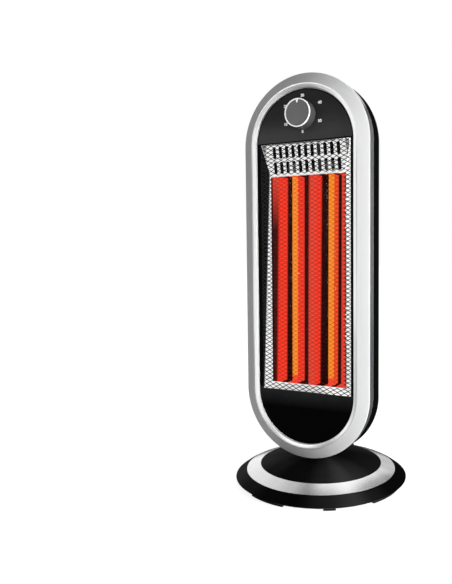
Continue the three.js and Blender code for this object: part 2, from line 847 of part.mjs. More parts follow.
// A foot: a stretch of a flat ring, centred on one angle.
function foot(turn, spread) {
  const start = THREE.MathUtils.degToRad(turn - spread / 2);
  const end = THREE.MathUtils.degToRad(turn + spread / 2);
  const outline = new THREE.Shape();
  outline.absarc(0, 0, footOuterRadius, start, end, false);
  outline.absarc(0, 0, footInnerRadius, end, start, true);
  return plateZ(outline, 0, plateBottom - seat);
}

function baseScrew([x, y]) {
  const headTop = plateBottom - seat;
  const head = rod(x, y, headTop - baseScrewHeadHeight, headTop, screwHeadRadius, screwSteps);
  return head.add(rod(x, y, headTop - overrun, plateTop + screwGrip, screwShankRadius, screwSteps));
}

const bearingWasher = () => turned([
  [hubRadius + washerEase, washerBottom],
  [neckRadius - washerMargin, washerBottom],
  [neckRadius - washerMargin, washerBottom + washerThickness],
  [hubRadius + washerEase, washerBottom + washerThickness],
], halfTurnSteps);

function driveMotor() {
  const neckTop = motorTop + motorNeckHeight;
  const boreBottom = motorBottom + motorHeight / 2;
  const can = rod(-motorDistance, 0, motorBottom, motorTop, motorRadius, halfTurnSteps);
  const neck = rod(-motorDistance, 0, motorTop - overrun, neckTop, motorNeckRadius);
  const bore = rod(-motorDistance, 0, boreBottom, neckTop + overrun, motorShaftRadius + seat);
  return cut(can.add(neck), [bore]);
}

// The crank with its shaft below and its pin above, at rest with the pin outward.
function driveCrank() {
  const pinX = -motorDistance - crankThrow;
  const crankTop = crankBottom + crankThickness;
  return join([
    rod(-motorDistance, 0, crankBottom, crankTop, crankDiscRadius, halfTurnSteps),
    rod(-motorDistance, 0, motorBottom + motorHeight / 2 + seat, crankBottom + overrun, motorShaftRadius),
    rod(pinX, 0, crankTop - overrun, armTop - seat, crankPinRadius),
  ]);
}

function tipPlunger() {
  const top = tipSwitchBottom + tipSwitchHeight - running;
  return join([
    rod(0, tipDistance, 0, top, plungerRadius),
    rod(0, tipDistance, plungerFlange, plungerFlange + plungerFlangeThickness, plungerFlangeRadius),
  ]);
}

// One unbroken wire round the plunger.
function tipSpring() {
  const steps = springCurls * curlSteps;
  const rise = springLength - 2 * springWire;
  const centre = (i) => {
    const angle = (2 * Math.PI * i) / curlSteps;
    const z = springBottom + springWire + (rise * i) / steps;
    const [x, y] = [springRadius * Math.cos(angle), springRadius * Math.sin(angle)];
    return new THREE.Vector3(x, tipDistance + y, z);
  };
  const rings = [];
  for (let i = 0; i <= steps; i += 1) {
    const middlePoint = centre(i);
    const out = new THREE.Vector3(middlePoint.x, middlePoint.y - tipDistance, 0).normalize();
    const up = new THREE.Vector3(0, 0, 1);
    const ring = [];
    for (let j = 0; j < curlSides; j += 1) {
      const angle = (2 * Math.PI * j) / curlSides;
      const point = middlePoint.clone();
      point.addScaledVector(out, springWire * Math.cos(angle));
      point.addScaledVector(up, springWire * Math.sin(angle));
      ring.push(point.toArray());
    }
    rings.push(ring);
  }
  let least = Infinity;
  for (let i = 0; i + curlSteps <= steps; i += 1) {
    least = Math.min(least, centre(i).distanceTo(centre(i + curlSteps)) - 2 * springWire);
  }
  console.log(`tip_spring: least gap between curls ${least.toFixed(2)} mm`);
  return skin(rings, false);
}

// The switch stands over the plunger on two legs.
function tipSwitch() {
  const half = tipSwitchWidth / 2;
  const front = tipDistance - tipSwitchDepth / 2;
  const back = tipDistance + tipSwitchDepth / 2;
  const top = tipSwitchBottom + tipSwitchHeight;
  const body = box([-half, front, tipSwitchBottom], [half, back, top]);
  const legs = [-half, half - tipSwitchLeg].map((x) => (
    box([x, front, plateTop + seat], [x + tipSwitchLeg, back, tipSwitchBottom + overrun])));
  const bore = rod(0, tipDistance, tipSwitchBottom - overrun, top + overrun, plungerRadius + running);
  return cut(join([body, ...legs]), [bore]);
}

function cordInlet() {
  const front = skirtRadius - inletLength;
  const body = rodY(0, inletHeight, front, skirtRadius, inletRadius);
  return cut(body, [rodY(0, inletHeight, front - overrun, skirtRadius + overrun, inletBore)]);
}

const silverPaint = { color: 0xbfc1c4, roughness: 0.35, metalness: 0.7 };
const glossBlack = { color: 0x121212, roughness: 0.3, metalness: 0 };
const mattBlack = { color: 0x181818, roughness: 0.5, metalness: 0 };
const darkGrey = { color: 0x242424, roughness: 0.5, metalness: 0 };
const midGrey = { color: 0x646567, roughness: 0.4, metalness: 0.1 };
const guardSteel = { color: 0x3a3b3d, roughness: 0.4, metalness: 0.8 };
const platedSteel = { color: 0xb8babd, roughness: 0.35, metalness: 0.9 };
const chrome = { color: 0xe6e7e8, roughness: 0.15, metalness: 1 };
const blackSteel = { color: 0x202123, roughness: 0.6, metalness: 0.5 };
const redLitSheet = { color: 0xd8502e, roughness: 0.2, metalness: 0.9 };
const orangeQuartz = { color: 0xf08c1e, roughness: 0.1, metalness: 0 };
const hotCarbon = { color: 0xe03c1a, roughness: 0.8, metalness: 0 };
const ceramic = { color: 0xe9e4da, roughness: 0.7, metalness: 0 };
const brownResin = { color: 0x8a5a2b, roughness: 0.6, metalness: 0 };
const nylon = { color: 0xe8e8e4, roughness: 0.5, metalness: 0 };
const rubber = { color: 0x1b1b1b, roughness: 0.85, metalness: 0 };

// The tower
add('bezel_ring', ringOfTower(), silverPaint);
add('front_panel', frontPanel(), glossBlack);
add('control_fascia', fascia(), darkGrey);
add('mesh_guard', guard(), guardSteel);
add('reflector_frame', surround(), platedSteel);
add('reflector', reflector(), redLitSheet);
add('tube_holder_top', holder(upperHolder), platedSteel);
add('tube_holder_bottom', holder(lowerHolder - holderThickness), platedSteel);
for (const [side, x] of [['left', -tubeX], ['right', tubeX]]) {
  add(`tube_${side}`, quartzTube(x), orangeQuartz);
  add(`filament_${side}`, ribbon(x), hotCarbon);
  add(`tube_cap_${side}_top`, ceramicCap(x, upperCap, 1), ceramic);
  add(`tube_cap_${side}_bottom`, ceramicCap(x, lowerCap, -1), ceramic);
}
add('thermal_cutout', rod(0, tubeY, upperCap, upperCap + cutoutHeight, cutoutRadius), brownResin);
add('terminal_block', terminalBlock(), ceramic);
add('wire_loom', loom(), rubber);
add('rotary_switch', rotarySwitch(), darkGrey);
add('rear_casing', rearCasing(), mattBlack);
postPlaces.forEach(([x, z], index) => {
  add(`casing_screw_${index + 1}`, casingScrew(x, z), platedSteel);
});
add('neck_collar', neckCollar(), mattBlack);
add('swivel_hub', hub(), midGrey);
add('swivel_arm', swivelArm(), platedSteel);

// The knob
add('knob', knob(), glossBlack);
add('knob_face', knobFace(), midGrey);
add('knob_rim', knobRim(), chrome);
add('switch_shaft', switchShaft(), platedSteel);

// The base
add('base_cover', baseCover(), glossBlack);
add('base_ring', baseBand(), silverPaint);
add('base_plate', basePlate(), blackSteel);
for (let index = 0; index < footCount; index += 1) {
  const turn = footTurn + (360 * index) / footCount;
  add(`foot_long_${index + 1}`, foot(turn, footAngle), rubber);
  add(`foot_short_${index + 1}`, foot(turn - 180 / footCount, shortFootAngle), rubber);
}
baseScrewPlaces.forEach((place, index) => {
  add(`base_screw_${index + 1}`, baseScrew(place), platedSteel);
});
add('bearing_washer', bearingWasher(), nylon);
add('drive_motor', driveMotor(), platedSteel);
add('drive_crank', driveCrank(), nylon);
add('tip_switch', tipSwitch(), darkGrey);
add('tip_plunger', tipPlunger(), rubber);
add('tip_spring', tipSpring(), platedSteel);
add('cord_inlet', cordInlet(), rubber);

export default parts;
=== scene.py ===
# %% [markdown]
# # A tower heater, piece by piece
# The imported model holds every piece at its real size. This notebook keeps those sizes and gives
# each piece the shape and finish that a camera sees: rounded edges, a fine wire guard, glowing tubes.
# Every length is in metres, in the model's own frame, with +Z up and the front towards -Y.

# %% Load the frame
import math

import bmesh
import bpy
from mathutils import Matrix, Vector


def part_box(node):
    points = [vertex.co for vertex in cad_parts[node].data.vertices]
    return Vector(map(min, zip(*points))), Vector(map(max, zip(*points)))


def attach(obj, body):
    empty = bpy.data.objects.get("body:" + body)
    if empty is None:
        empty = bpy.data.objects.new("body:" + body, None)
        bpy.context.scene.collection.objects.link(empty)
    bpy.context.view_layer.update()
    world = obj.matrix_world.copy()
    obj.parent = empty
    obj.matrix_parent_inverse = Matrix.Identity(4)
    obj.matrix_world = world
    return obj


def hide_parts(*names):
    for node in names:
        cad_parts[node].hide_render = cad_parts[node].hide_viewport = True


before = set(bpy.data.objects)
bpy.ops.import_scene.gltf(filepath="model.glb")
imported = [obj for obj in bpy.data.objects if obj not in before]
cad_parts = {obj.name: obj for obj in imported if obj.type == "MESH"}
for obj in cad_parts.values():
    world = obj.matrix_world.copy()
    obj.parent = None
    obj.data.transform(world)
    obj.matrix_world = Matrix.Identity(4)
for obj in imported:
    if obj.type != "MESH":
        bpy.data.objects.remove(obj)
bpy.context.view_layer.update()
mm = 0.001

# %% [markdown]
# ## The camera
# A photograph's view can be set in two ways: by moving a camera until it looks right, or by working
# out where the camera stood. The second is exact, and this is its result. The camera stood a little
# to the right of the front, slightly above the middle, and the object is off the picture's centre,
# which the lens shift gives without turning the camera.

# %% Camera
picture_width, picture_height = 452, 584     # pixels
focal_length = 594.44                        # pixels
axis_across = 313                            # pixels, where the lens's axis meets the picture
turn = math.radians(25.349)                  # round the object, from the front towards +X
dip = math.radians(3.732)
roll = math.radians(-0.307)
distance = 933.9 * mm
aim_height = 297 * mm
aim_side = -11.2 * mm

ahead = Vector((-math.sin(turn) * math.cos(dip), math.cos(turn) * math.cos(dip), -math.sin(dip)))
level = Vector((math.cos(turn), math.sin(turn), 0))
above = level.cross(ahead)
right = level * math.cos(roll) + above * math.sin(roll)
upward = above * math.cos(roll) - level * math.sin(roll)
eye = Vector((0, 0, aim_height)) + level * aim_side - ahead * distance

bpy.ops.object.camera_add()
camera = bpy.context.object
camera.matrix_world = Matrix.Translation(eye) @ Matrix((right, upward, -ahead)).transposed().to_4x4()
camera.data.lens = camera.data.sensor_width * focal_length / picture_height
camera.data.shift_x = (picture_width / 2 - axis_across) / picture_height
bpy.context.scene.camera = camera
print("the camera stands at", [round(x, 3) for x in eye])

# %% [markdown]
# ## Hands
# These few helpers do what a modeller's hands do: select one object, select corners by their place,
# extrude a circle along a profile as on a lathe, and apply a modifier. The tower's outlines are all
# long rounds. Each one is a lathe's circle that is then pulled apart at the middle, so that its upper
# half moves up and its lower half moves down, with straight sides between them.

# %% Selecting and applying
hair = 0.01 * mm     # corners nearer than this are one corner


def only(piece=None):
    for other in list(bpy.context.selected_objects):
        other.select_set(False)
    if piece:
        piece.select_set(True)
        bpy.context.view_layer.objects.active = piece


def edit(piece, whole=False):
    only(piece)
    bpy.ops.object.mode_set(mode="EDIT")
    bpy.ops.mesh.select_mode(type="VERT")
    if whole:
        bpy.ops.mesh.select_all(action="SELECT")


def leave():
    bpy.ops.object.mode_set(mode="OBJECT")


def choose(rule, kind="verts"):
    """Selects the corners, edges or faces that a rule picks, in edit mode."""
    work = bmesh.from_edit_mesh(bpy.context.object.data)
    for group in (work.verts, work.edges, work.faces):
        group.index_update()
        for item in group:
            item.select = False
    for item in getattr(work, kind):
        if rule(item):
            item.select_set(True)
    if kind == "verts":
        work.select_flush(True)
    bmesh.update_edit_mesh(bpy.context.object.data)


def close_up():
    """Joins corners that meet, points every face outwards and leaves edit mode."""
    bpy.ops.mesh.select_all(action="SELECT")
    bpy.ops.mesh.remove_doubles(threshold=hair)
    bpy.ops.mesh.normals_make_consistent(inside=False)
    leave()


def at(face):
    """The middle of a face, for rules that go by place."""
    return face.calc_center_median()


def modify(piece, kind, **settings):
    only(piece)
    bpy.ops.object.modifier_add(type=kind)
    modifier = piece.modifiers[-1]
    for key, value in settings.items():
        setattr(modifier, key, value)
    bpy.ops.object.modifier_apply(modifier=modifier.name)


def combine(piece, tool, operation="DIFFERENCE"):
    modify(piece, "BOOLEAN", object=tool, operation=operation, solver="EXACT")
    bpy.data.objects.remove(tool)


def soften(piece, width, segments=2, angle=25):
    """Rounds every edge that turns more than the angle, and keeps the flat faces flat in the light."""
    if width:
        modify(piece, "BEVEL", width=width, segments=segments, limit_method="ANGLE",
               angle_limit=math.radians(angle), use_clamp_overlap=True)
    only(piece)
    bpy.ops.object.shade_smooth()
    modify(piece, "WEIGHTED_NORMAL", keep_sharp=True, weight=100)


# %% Lathe, block and join
def turned(name, profile, axis="Z", centre=(0, 0), steps=96, ends=None):
    """Turns a profile of (radius, place along the axis). ends is flat, or meet for a closed section."""
    upright = axis == "Z"

    def spot(along):
        return Vector((centre[0], centre[1], along) if upright else (centre[0], along, centre[1]))

    only()
    radius, along = profile[0]
    half_step = math.pi / steps
    tilt = (0, 0, half_step) if upright else (math.pi / 2, half_step, 0)
    bpy.ops.mesh.primitive_circle_add(vertices=steps, radius=radius, location=spot(along), rotation=tilt)
    bpy.ops.object.transform_apply()
    piece = bpy.context.object
    piece.name = name
    edit(piece, whole=True)
    path = profile + profile[:1] if ends == "meet" else profile
    for (old, start), (new, end) in zip(path, path[1:]):
        bpy.ops.mesh.extrude_region_move(TRANSFORM_OT_translate={"value": spot(end) - spot(start)})
        share = new / old
        size = (share, share, 1) if upright else (share, 1, share)
        bpy.ops.transform.resize(value=size, center_override=spot(end))
    if ends == "flat":
        bpy.ops.mesh.edge_face_add()
        choose(lambda corner: corner.index < steps)
        bpy.ops.mesh.edge_face_add()
    close_up()
    return piece


def block(name, low, high):
    only()
    low, high = Vector(low), Vector(high)
    bpy.ops.mesh.primitive_cube_add(size=1, location=(low + high) / 2)
    piece = bpy.context.object
    piece.name = name
    piece.scale = high - low
    bpy.ops.object.transform_apply()
    return piece


def rod(name, radius, start, end, **settings):
    """A plain cylinder from one place along its axis to another."""
    return turned(name, [(radius, start), (radius, end)], ends="flat", **settings)


def round_corners(tool, radius, segments):
    """Rounds the four edges of a block that run from front to back."""
    edit(tool)
    choose(lambda edge: abs(edge.verts[0].co.y - edge.verts[1].co.y) > hair, "edges")
    bpy.ops.mesh.bevel(offset=radius, segments=segments, affect="EDGES")
    leave()
    return tool


def upright(name, add, centre, width, height, **settings):
    """Stands a flat sheet up across the front. add is the operator that draws it."""
    only()
    add(size=1, location=centre, rotation=(math.pi / 2, 0, 0), **settings)
    piece = bpy.context.object
    piece.name = name
    piece.scale = (width, height, 1)
    bpy.ops.object.transform_apply()
    return piece


def single_edge(name, start, end):
    """One bare edge, which is then wound or spun into a surface."""
    only()
    bpy.ops.mesh.primitive_plane_add(size=1)
    piece = bpy.context.object
    piece.name = name
    edit(piece)
    choose(lambda corner: corner.co.x < 0)
    bpy.ops.mesh.delete(type="VERT")
    leave()
    for corner, spot in zip(piece.data.vertices, (start, end)):
        corner.co = spot
    return piece


def joined(pieces):
    only(pieces[0])
    for piece in pieces:
        piece.select_set(True)
    bpy.ops.object.join()
    return bpy.context.object


def copied(piece, shift):
    only(piece)
    bpy.ops.object.duplicate()
    copy = bpy.context.object
    copy.location = shift
    bpy.ops.object.transform_apply()
    return copy


# %% [markdown]
# ## Sizes from the frame
# Nothing is measured twice. The outline of the tower, the window and the base come from the boxes of
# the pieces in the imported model, and the tower's pieces share one middle height.

# %% Sizes
ring_low, ring_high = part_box("bezel_ring")
panel_low, panel_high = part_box("front_panel")
fascia_low, fascia_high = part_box("control_fascia")
knob_low, knob_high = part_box("knob")
guard_low, guard_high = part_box("mesh_guard")
surround_low, surround_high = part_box("reflector_frame")
sheet_low, sheet_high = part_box("reflector")
casing_low, casing_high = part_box("rear_casing")

through = 5 * mm     # how far a cutting tool reaches past what it cuts
seam = 0.3 * mm      # between pieces that sit in one another
lap = 1 * mm         # how far solids that become one reach into each other

middle = (ring_low.z + ring_high.z) / 2
tower_half = ring_high.x
straight = (ring_high.z - ring_low.z) / 2 - tower_half
crest_y = ring_low.y
panel_half = panel_high.x
panel_y = panel_low.y
panel_thickness = 2.4 * mm
panel_back = panel_y + panel_thickness
tuck_side, tuck_foot, tuck_top = 0.9 * mm, 3.6 * mm, 2.1 * mm     # of the guard, behind the panel
window_half = guard_high.x - tuck_side
window_low = guard_low.z + tuck_foot
window_high = guard_high.z - tuck_top
chamber_half = 62 * mm
chamber_low = sheet_low.z
chamber_high = sheet_high.z
print("the window measures", round(2 * window_half / mm, 1), "by",
      round((window_high - window_low) / mm, 1), "mm")


def long_round(name, profile, steps=128, ends="flat", flares=None):
    """A lathe's form about the tower's middle, pulled apart. flares fill out its lower corners."""
    piece = turned(name, profile, axis="Y", centre=(0, middle), steps=steps, ends=ends)
    edit(piece)
    for (half, y), flare in zip(profile, flares or [0] * len(profile)):
        choose(lambda corner: corner.co.z < middle and abs(corner.co.y - y) < hair
               and abs(math.hypot(corner.co.x, corner.co.z - middle) - half) < hair)
        bpy.ops.transform.resize(value=(1, 1, (half - flare) / half), center_override=(0, y, middle))
        bpy.ops.transform.translate(value=(0, 0, -straight - flare))
    choose(lambda corner: corner.co.z > middle)
    bpy.ops.transform.translate(value=(0, 0, straight))
    close_up()
    return piece


def long_plate(name, half, front, back, steps=128):
    return long_round(name, [(half, front), (half, back)], steps=steps)


# %% [markdown]
# ## Finishes
# Each finish is a Principled surface whose colour, roughness and relief vary a little with a noise on
# Object coordinates, so the pattern stays on the piece when the piece moves. One function gives that
# grain to all of them, and some also have light and shade painted into their colour, by height or
# round the upright axis. Numbers that are the same all over sit directly on the shader.

# %% Hands for nodes
def feed(tree, node, sources):
    """Gives a node's sockets, by name or number, a value or another node's output."""
    for socket, source in sources.items():
        if isinstance(source, bpy.types.NodeSocket):
            tree.links.new(source, node.inputs[socket])
        else:
            node.inputs[socket].default_value = source
    return node


def added(tree, kind, sources, **settings):
    node = tree.nodes.new(f"ShaderNode{kind}")
    for key, value in settings.items():
        setattr(node, key, value)
    return feed(tree, node, sources)


def mapped(tree, value, low=0.0, high=1.0, start=0.0, end=1.0):
    """Turns the range from low to high into the one from start to end."""
    return added(tree, "MapRange", {"Value": value, "From Min": low, "From Max": high, "To Min": start,
                                    "To Max": end}).outputs["Result"]


def ramped(tree, value, stops, ease=False):
    """Turns a value into a shade by stops, each a (value, grey or colour)."""
    node = added(tree, "ValToRGB", {"Fac": value})
    node.color_ramp.interpolation = "EASE" if ease else "LINEAR"
    elements = node.color_ramp.elements
    elements.remove(elements[1])
    for i, (place, shade) in enumerate(stops):
        stop = elements.new(place) if i else elements[0]
        stop.position = place
        stop.color = (*shade, 1) if isinstance(shade, tuple) else (shade, shade, shade, 1)
    return node.outputs["Color"]


def mixed(tree, share, first, second, kind="MIX"):
    return added(tree, "Mix", {0: share, 6: first, 7: second}, data_type="RGBA",
                 blend_type=kind).outputs[2]


def both(tree, operation, first, second):
    return added(tree, "Math", {0: first, 1: second}, operation=operation).outputs[0]


def place_in(tree):
    return added(tree, "TexCoord", {}).outputs["Object"]


def height_in(tree):
    return added(tree, "SeparateXYZ", {"Vector": place_in(tree)}).outputs["Z"]


def bearing_in(tree):
    """Goes from 0 to 1 round the upright axis, as at_bearings counts it."""
    return added(tree, "TexGradient", {"Vector": place_in(tree)}, gradient_type="RADIAL").outputs["Fac"]


def at_bearings(stops):
    """Stops of (degrees from the front towards +X, shade), for bearing_in."""
    return [((bearing + 90) / 360, shade) for bearing, shade in stops]


def measured_in(tree, operation, direction=(0, 0, 0)):
    """A place's length, or how far it lies along a direction."""
    return added(tree, "VectorMath", {0: place_in(tree), 1: direction},
                 operation=operation).outputs["Value"]


# %% A finish with grain
def shader_of(material):
    return material.node_tree.nodes["Principled BSDF"]


def paint_of(name, **sockets):
    """A new Principled material. Two words in a socket's name are joined by an underscore."""
    material = bpy.data.materials.new(name)
    material.use_nodes = True
    feed(material.node_tree, shader_of(material),
         {socket.replace("_", " "): value for socket, value in sockets.items()})
    return material


def finish(name, colour, roughness, metallic=0.0, specular=0.5, grain=900, relief=0.0, spread=0.06,
           tint=0.12, stretch=(1, 1, 1)):
    """grain is the noise's scale per metre, relief its height, and spread and tint how far it varies."""
    material = paint_of(name, Metallic=metallic, Specular_IOR_Level=specular)
    tree = material.node_tree
    stretched = added(tree, "Mapping", {"Vector": place_in(tree), "Scale": stretch}).outputs["Vector"]
    grey = added(tree, "TexNoise", {"Vector": stretched, "Scale": grain, "Detail": 3}).outputs["Fac"]
    darker = tuple(c * (1 - tint) for c in colour)
    lighter = tuple(min(1, c * (1 + tint)) for c in colour)
    shader = feed(tree, shader_of(material), {
        "Base Color": ramped(tree, grey, [(0.3, darker), (0.7, lighter)]),
        "Roughness": mapped(tree, grey, start=max(0.02, roughness - spread),
                            end=min(1, roughness + spread))})
    if relief:
        bump = added(tree, "Bump", {"Height": grey, "Distance": relief})
        feed(tree, shader, {"Normal": bump.outputs["Normal"]})
    return material


def glow(material, colour, strength=1.0):
    """Makes a finish shine in a colour, or in what another node gives."""
    colour = (*colour, 1) if isinstance(colour, tuple) else colour
    feed(material.node_tree, shader_of(material), {"Emission Color": colour,
                                                   "Emission Strength": strength})


def base_of(material):
    """The node output that gives a finish its colour."""
    return shader_of(material).inputs["Base Color"].links[0].from_socket


def multiplied(material, shade):
    """Multiplies a finish's colour by a shade that changes with place, which keeps its grain."""
    tree = material.node_tree
    product = mixed(tree, 1, base_of(material), shade, "MULTIPLY")
    feed(tree, shader_of(material), {"Base Color": product})
    return material


def sheen_painted_round_axis(name, stops, roughness, **settings):
    """A finish with a sheen and shade painted into its colour round the upright axis. stops are
    (bearing, grey).
    """
    material = finish(name, (1, 1, 1), roughness, **settings)
    tree = material.node_tree
    return multiplied(material, ramped(tree, bearing_in(tree), at_bearings(stops), ease=True))


def painted_shade_by_height(name, colour, stops, roughness, **settings):
    """A finish with light and shade painted into its colour by height. stops are (height, grey that
    multiplies the colour).
    """
    material = finish(name, colour, roughness, **settings)
    tree = material.node_tree
    low, high = stops[0][0], stops[-1][0]
    shares = [((height - low) / (high - low), grey) for height, grey in stops]
    return multiplied(material, ramped(tree, mapped(tree, height_in(tree), low, high), shares))


# %% The finishes
fine = {"grain": 3500, "spread": 0.04, "tint": 0.03}
soft_black = {"specular": 0.0, "grain": 60, "spread": 0.03}

silver_paint = finish("silver_paint", (0.78, 0.783, 0.786), 0.38, metallic=0.02, specular=0.08, **fine)
# Painted shade: the side wall's silver turns dark on the ring's upper round, where it would mirror a
# bright card.
silver_side_painted_shade = painted_shade_by_height("silver_side_painted_shade", (0.8, 0.803, 0.806), [
    (0.04, 1), (0.545, 1), (0.561, 0.11), (0.577, 0.12), (0.59, 0.25), (0.62, 0.3),
], 0.16, metallic=0.92, **fine)
# A lighter, more metallic silver for the bevel and crest: it mirrors the cards, and its lighter colour
# also paints part of their highlight.
bright_edge = finish("bright_edge", (0.93, 0.93, 0.935), 0.2, metallic=0.5, grain=1200, spread=0.04,
                     tint=0.03)
# Painted sheen and shade: the base band's silver brightens and darkens round the axis as its highlights
# would.
silver_painted_sheen = sheen_painted_round_axis("silver_painted_sheen", [
    (-90, 0.95), (-60, 0.84), (-30, 0.75), (-14, 0.65), (1, 0.51), (13, 0.37), (28, 0.9), (45, 1.0),
    (75, 1.0), (90, 0.7), (105, 0.46), (120, 0.35), (135, 0.46), (180, 0.44), (225, 0.9), (270, 0.95),
], 0.2, metallic=0.8, grain=3500, spread=0.03, tint=0.03)
# Painted light: the black panel turns lighter in a narrow strip just below the window.
panel_black = painted_shade_by_height("panel_black", (0.04, 0.04, 0.041), [
    (0.124, 0.08), (0.149, 0.95), (0.153, 0.08), (0.16, 0.08),
], 0.3, specular=0.02, grain=60, spread=0.03)
# Painted sheen: the dome's and skirt's black turns grey in soft sheens round the axis, as light falls on
# them.
black_painted_sheen = sheen_painted_round_axis("black_painted_sheen", [
    (-90, 0.12), (-60, 0.088), (-30, 0.03), (-12, 0.01), (8, 0.008), (28, 0.022), (45, 0.05),
    (62, 0.026), (85, 0.011), (115, 0.011), (150, 0.03), (210, 0.09), (270, 0.12),
], 0.3, **soft_black)
skirt_painted_sheen = sheen_painted_round_axis("skirt_painted_sheen", [
    (-90, 0.13), (-60, 0.095), (-30, 0.033), (-12, 0.008), (8, 0.004), (28, 0.017), (45, 0.036),
    (60, 0.011), (75, 0.003), (110, 0.0035), (150, 0.02), (210, 0.09), (270, 0.13),
], 0.3, **soft_black)
casing_black = finish("casing_black", (0.012, 0.012, 0.0122), 0.42, specular=0.35, grain=2500,
                      relief=0.04 * mm)
black_matte = finish("black_matte", (0.003, 0.003, 0.0032), 0.6, specular=0.0, grain=2500,
                     relief=0.05 * mm)
# Painted light: the dial plate's grey is lighter towards its bottom, below the knob.
fascia_grey = painted_shade_by_height("fascia_grey", (0.028, 0.028, 0.0285), [
    (fascia_low.z, 3.1), (knob_low.z - 4 * mm, 3.1), (knob_low.z + 20 * mm, 1.5), (knob_high.z, 0.9),
    (fascia_high.z, 0.9),
], 0.55, specular=0.08, grain=2200, relief=0.02 * mm)
guard_wire = finish("guard_wire", (0.004, 0.004, 0.0041), 0.4, specular=0.05, grain=1500)
# Painted glow: strands in front of the chamber glow faintly red and are mostly see-through.
guard_painted_glow = finish("guard_painted_glow", (0.02, 0.02, 0.021), 0.4, specular=0.2, grain=1500)
glow(guard_painted_glow, (1, 0.06, 0.045), 0.09)
feed(guard_painted_glow.node_tree, shader_of(guard_painted_glow), {"Alpha": 0.2})
dull_sheet = finish("dull_sheet", (0.16, 0.16, 0.165), 0.6, specular=0.05, grain=400)
ceramic = finish("ceramic", (0.8, 0.77, 0.7), 0.7, grain=1800, relief=0.04 * mm)
brown_resin = finish("brown_resin", (0.25, 0.12, 0.04), 0.55, grain=700)
wire_sleeve = finish("wire_sleeve", (0.02, 0.02, 0.02), 0.6, grain=1200)
grey_nylon = finish("grey_nylon", (0.12, 0.12, 0.125), 0.5, grain=900)
plated_steel = finish("plated_steel", (0.6, 0.6, 0.61), 0.3, metallic=1.0, grain=500, stretch=(1, 1, 12))
screw_steel = finish("screw_steel", (0.45, 0.45, 0.46), 0.32, metallic=1.0, grain=900)
black_steel = finish("black_steel", (0.012, 0.012, 0.013), 0.45, grain=1600, relief=0.04 * mm)
white_nylon = finish("white_nylon", (0.75, 0.75, 0.73), 0.5, grain=700)
knob_black = finish("knob_black", (0.075, 0.075, 0.077), 0.3, specular=0.5, grain=1800)
knob_grey = finish("knob_grey", (0.135, 0.135, 0.138), 0.42, metallic=0.2, grain=2600, spread=0.05)
# Painted highlight: the rim's chrome also glows white, for the bright ring of light it shows.
bright_chrome = finish("bright_chrome", (0.96, 0.96, 0.965), 0.3, metallic=0.1, grain=300, tint=0.02)
glow(bright_chrome, (1, 1, 1), 0.4)
# The print is white, and it also glows a little, a painted light that keeps it bright.
glowing_white_print = finish("glowing_white_print", (0.9, 0.9, 0.9), 0.6, grain=900, tint=0.03)
glow(glowing_white_print, (1, 1, 1), 0.45)
rubber = finish("rubber", (0.01, 0.01, 0.01), 0.75, specular=0.25, grain=1500, relief=0.05 * mm)
print(len(bpy.data.materials), "finishes")


def unseen(piece, *rays):
    """Hides a piece from glossy or diffuse rays, so that it isn't mirrored or doesn't light others."""
    for kind in rays:
        setattr(piece, f"visible_{kind}", False)


def dress(piece, material, body, slot, *nodes):
    """Gives a piece its finish, the body it moves with and the CAD nodes that it stands for."""
    piece.data.materials.clear()
    piece.data.materials.append(material)
    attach(piece, body)
    if nodes:
        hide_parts(*nodes)
    print(piece.name, len(piece.data.polygons), "faces")
    return piece


def repaint(piece, material, rule):
    """Gives the faces that a rule picks one more finish."""
    piece.data.materials.append(material)
    edit(piece)
    bpy.ops.mesh.select_mode(type="FACE")
    choose(rule, "faces")
    piece.active_material_index = len(piece.data.materials) - 1
    bpy.ops.object.material_slot_assign()
    leave()


# %% [markdown]
# ## The silver ring
# The ring is one moulding: a wide band that slopes up from the rim to a raised crest, a narrow bevel
# inside the crest, and a ledge that holds the panel. The band is slightly crowned, as paint over a
# moulding looks, and the crest is rounded so that it catches one thin line of light. The bevel and the
# crest also get a lighter silver, which paints part of that light.

# %% Silver ring
crest_inset = 17.2 * mm
crest_rise = 8.6 * mm
bevel_width = 5.6 * mm
bevel_drop = 2.4 * mm
crown = 0.5 * mm            # how far the wide band's middle stands out
ring_wall = 2.5 * mm
edge_glint = 0.9 * mm       # how far the bright edge reaches past the crest
ledge_width = 3.4 * mm
ledge_depth = 2.2 * mm
rim_y = crest_y + crest_rise
crest_half = tower_half - crest_inset
opening_half = crest_half - bevel_width
ledge_y = panel_back + seam

bezel = long_round("silver_ring", [
    (tower_half, ring_high.y),
    (tower_half, rim_y),
    (tower_half - crest_inset / 2, (rim_y + crest_y) / 2 - crown),
    (crest_half, crest_y),
    (opening_half, crest_y + bevel_drop),
    (opening_half, ledge_y),
    (opening_half - ledge_width, ledge_y),
    (opening_half - ledge_width, ledge_y + ledge_depth),
    (opening_half + ring_wall, ledge_y + ledge_depth),
    (opening_half + ring_wall, crest_y + bevel_drop + ring_wall),
    (crest_half, crest_y + ring_wall),
    (tower_half - ring_wall, rim_y + ring_wall),
    (tower_half - ring_wall, ring_high.y),
], steps=160, ends="meet")
soften(bezel, 1.1 * mm, segments=4, angle=15)
dress(bezel, silver_paint, "tower", "silver_paint", "bezel_ring")
unseen(bezel, "glossy")


def from_middle(spot):
    """How far a place lies from the straight line between the centres of the two round ends."""
    return math.hypot(spot.x, max(0, abs(spot.z - middle) - straight))


# The bevel and crest get the lighter silver that paints part of their highlight.
repaint(bezel, bright_edge, lambda face: face.normal.y < -0.1 and -0.1 * mm
        < from_middle(at(face)) - opening_half < bevel_width + edge_glint)
# The side wall gets the silver with painted shade near its top.
repaint(bezel, silver_side_painted_shade, lambda face: abs(face.normal.y) < 0.15
        and from_middle(at(face)) > tower_half - 0.3 * mm)

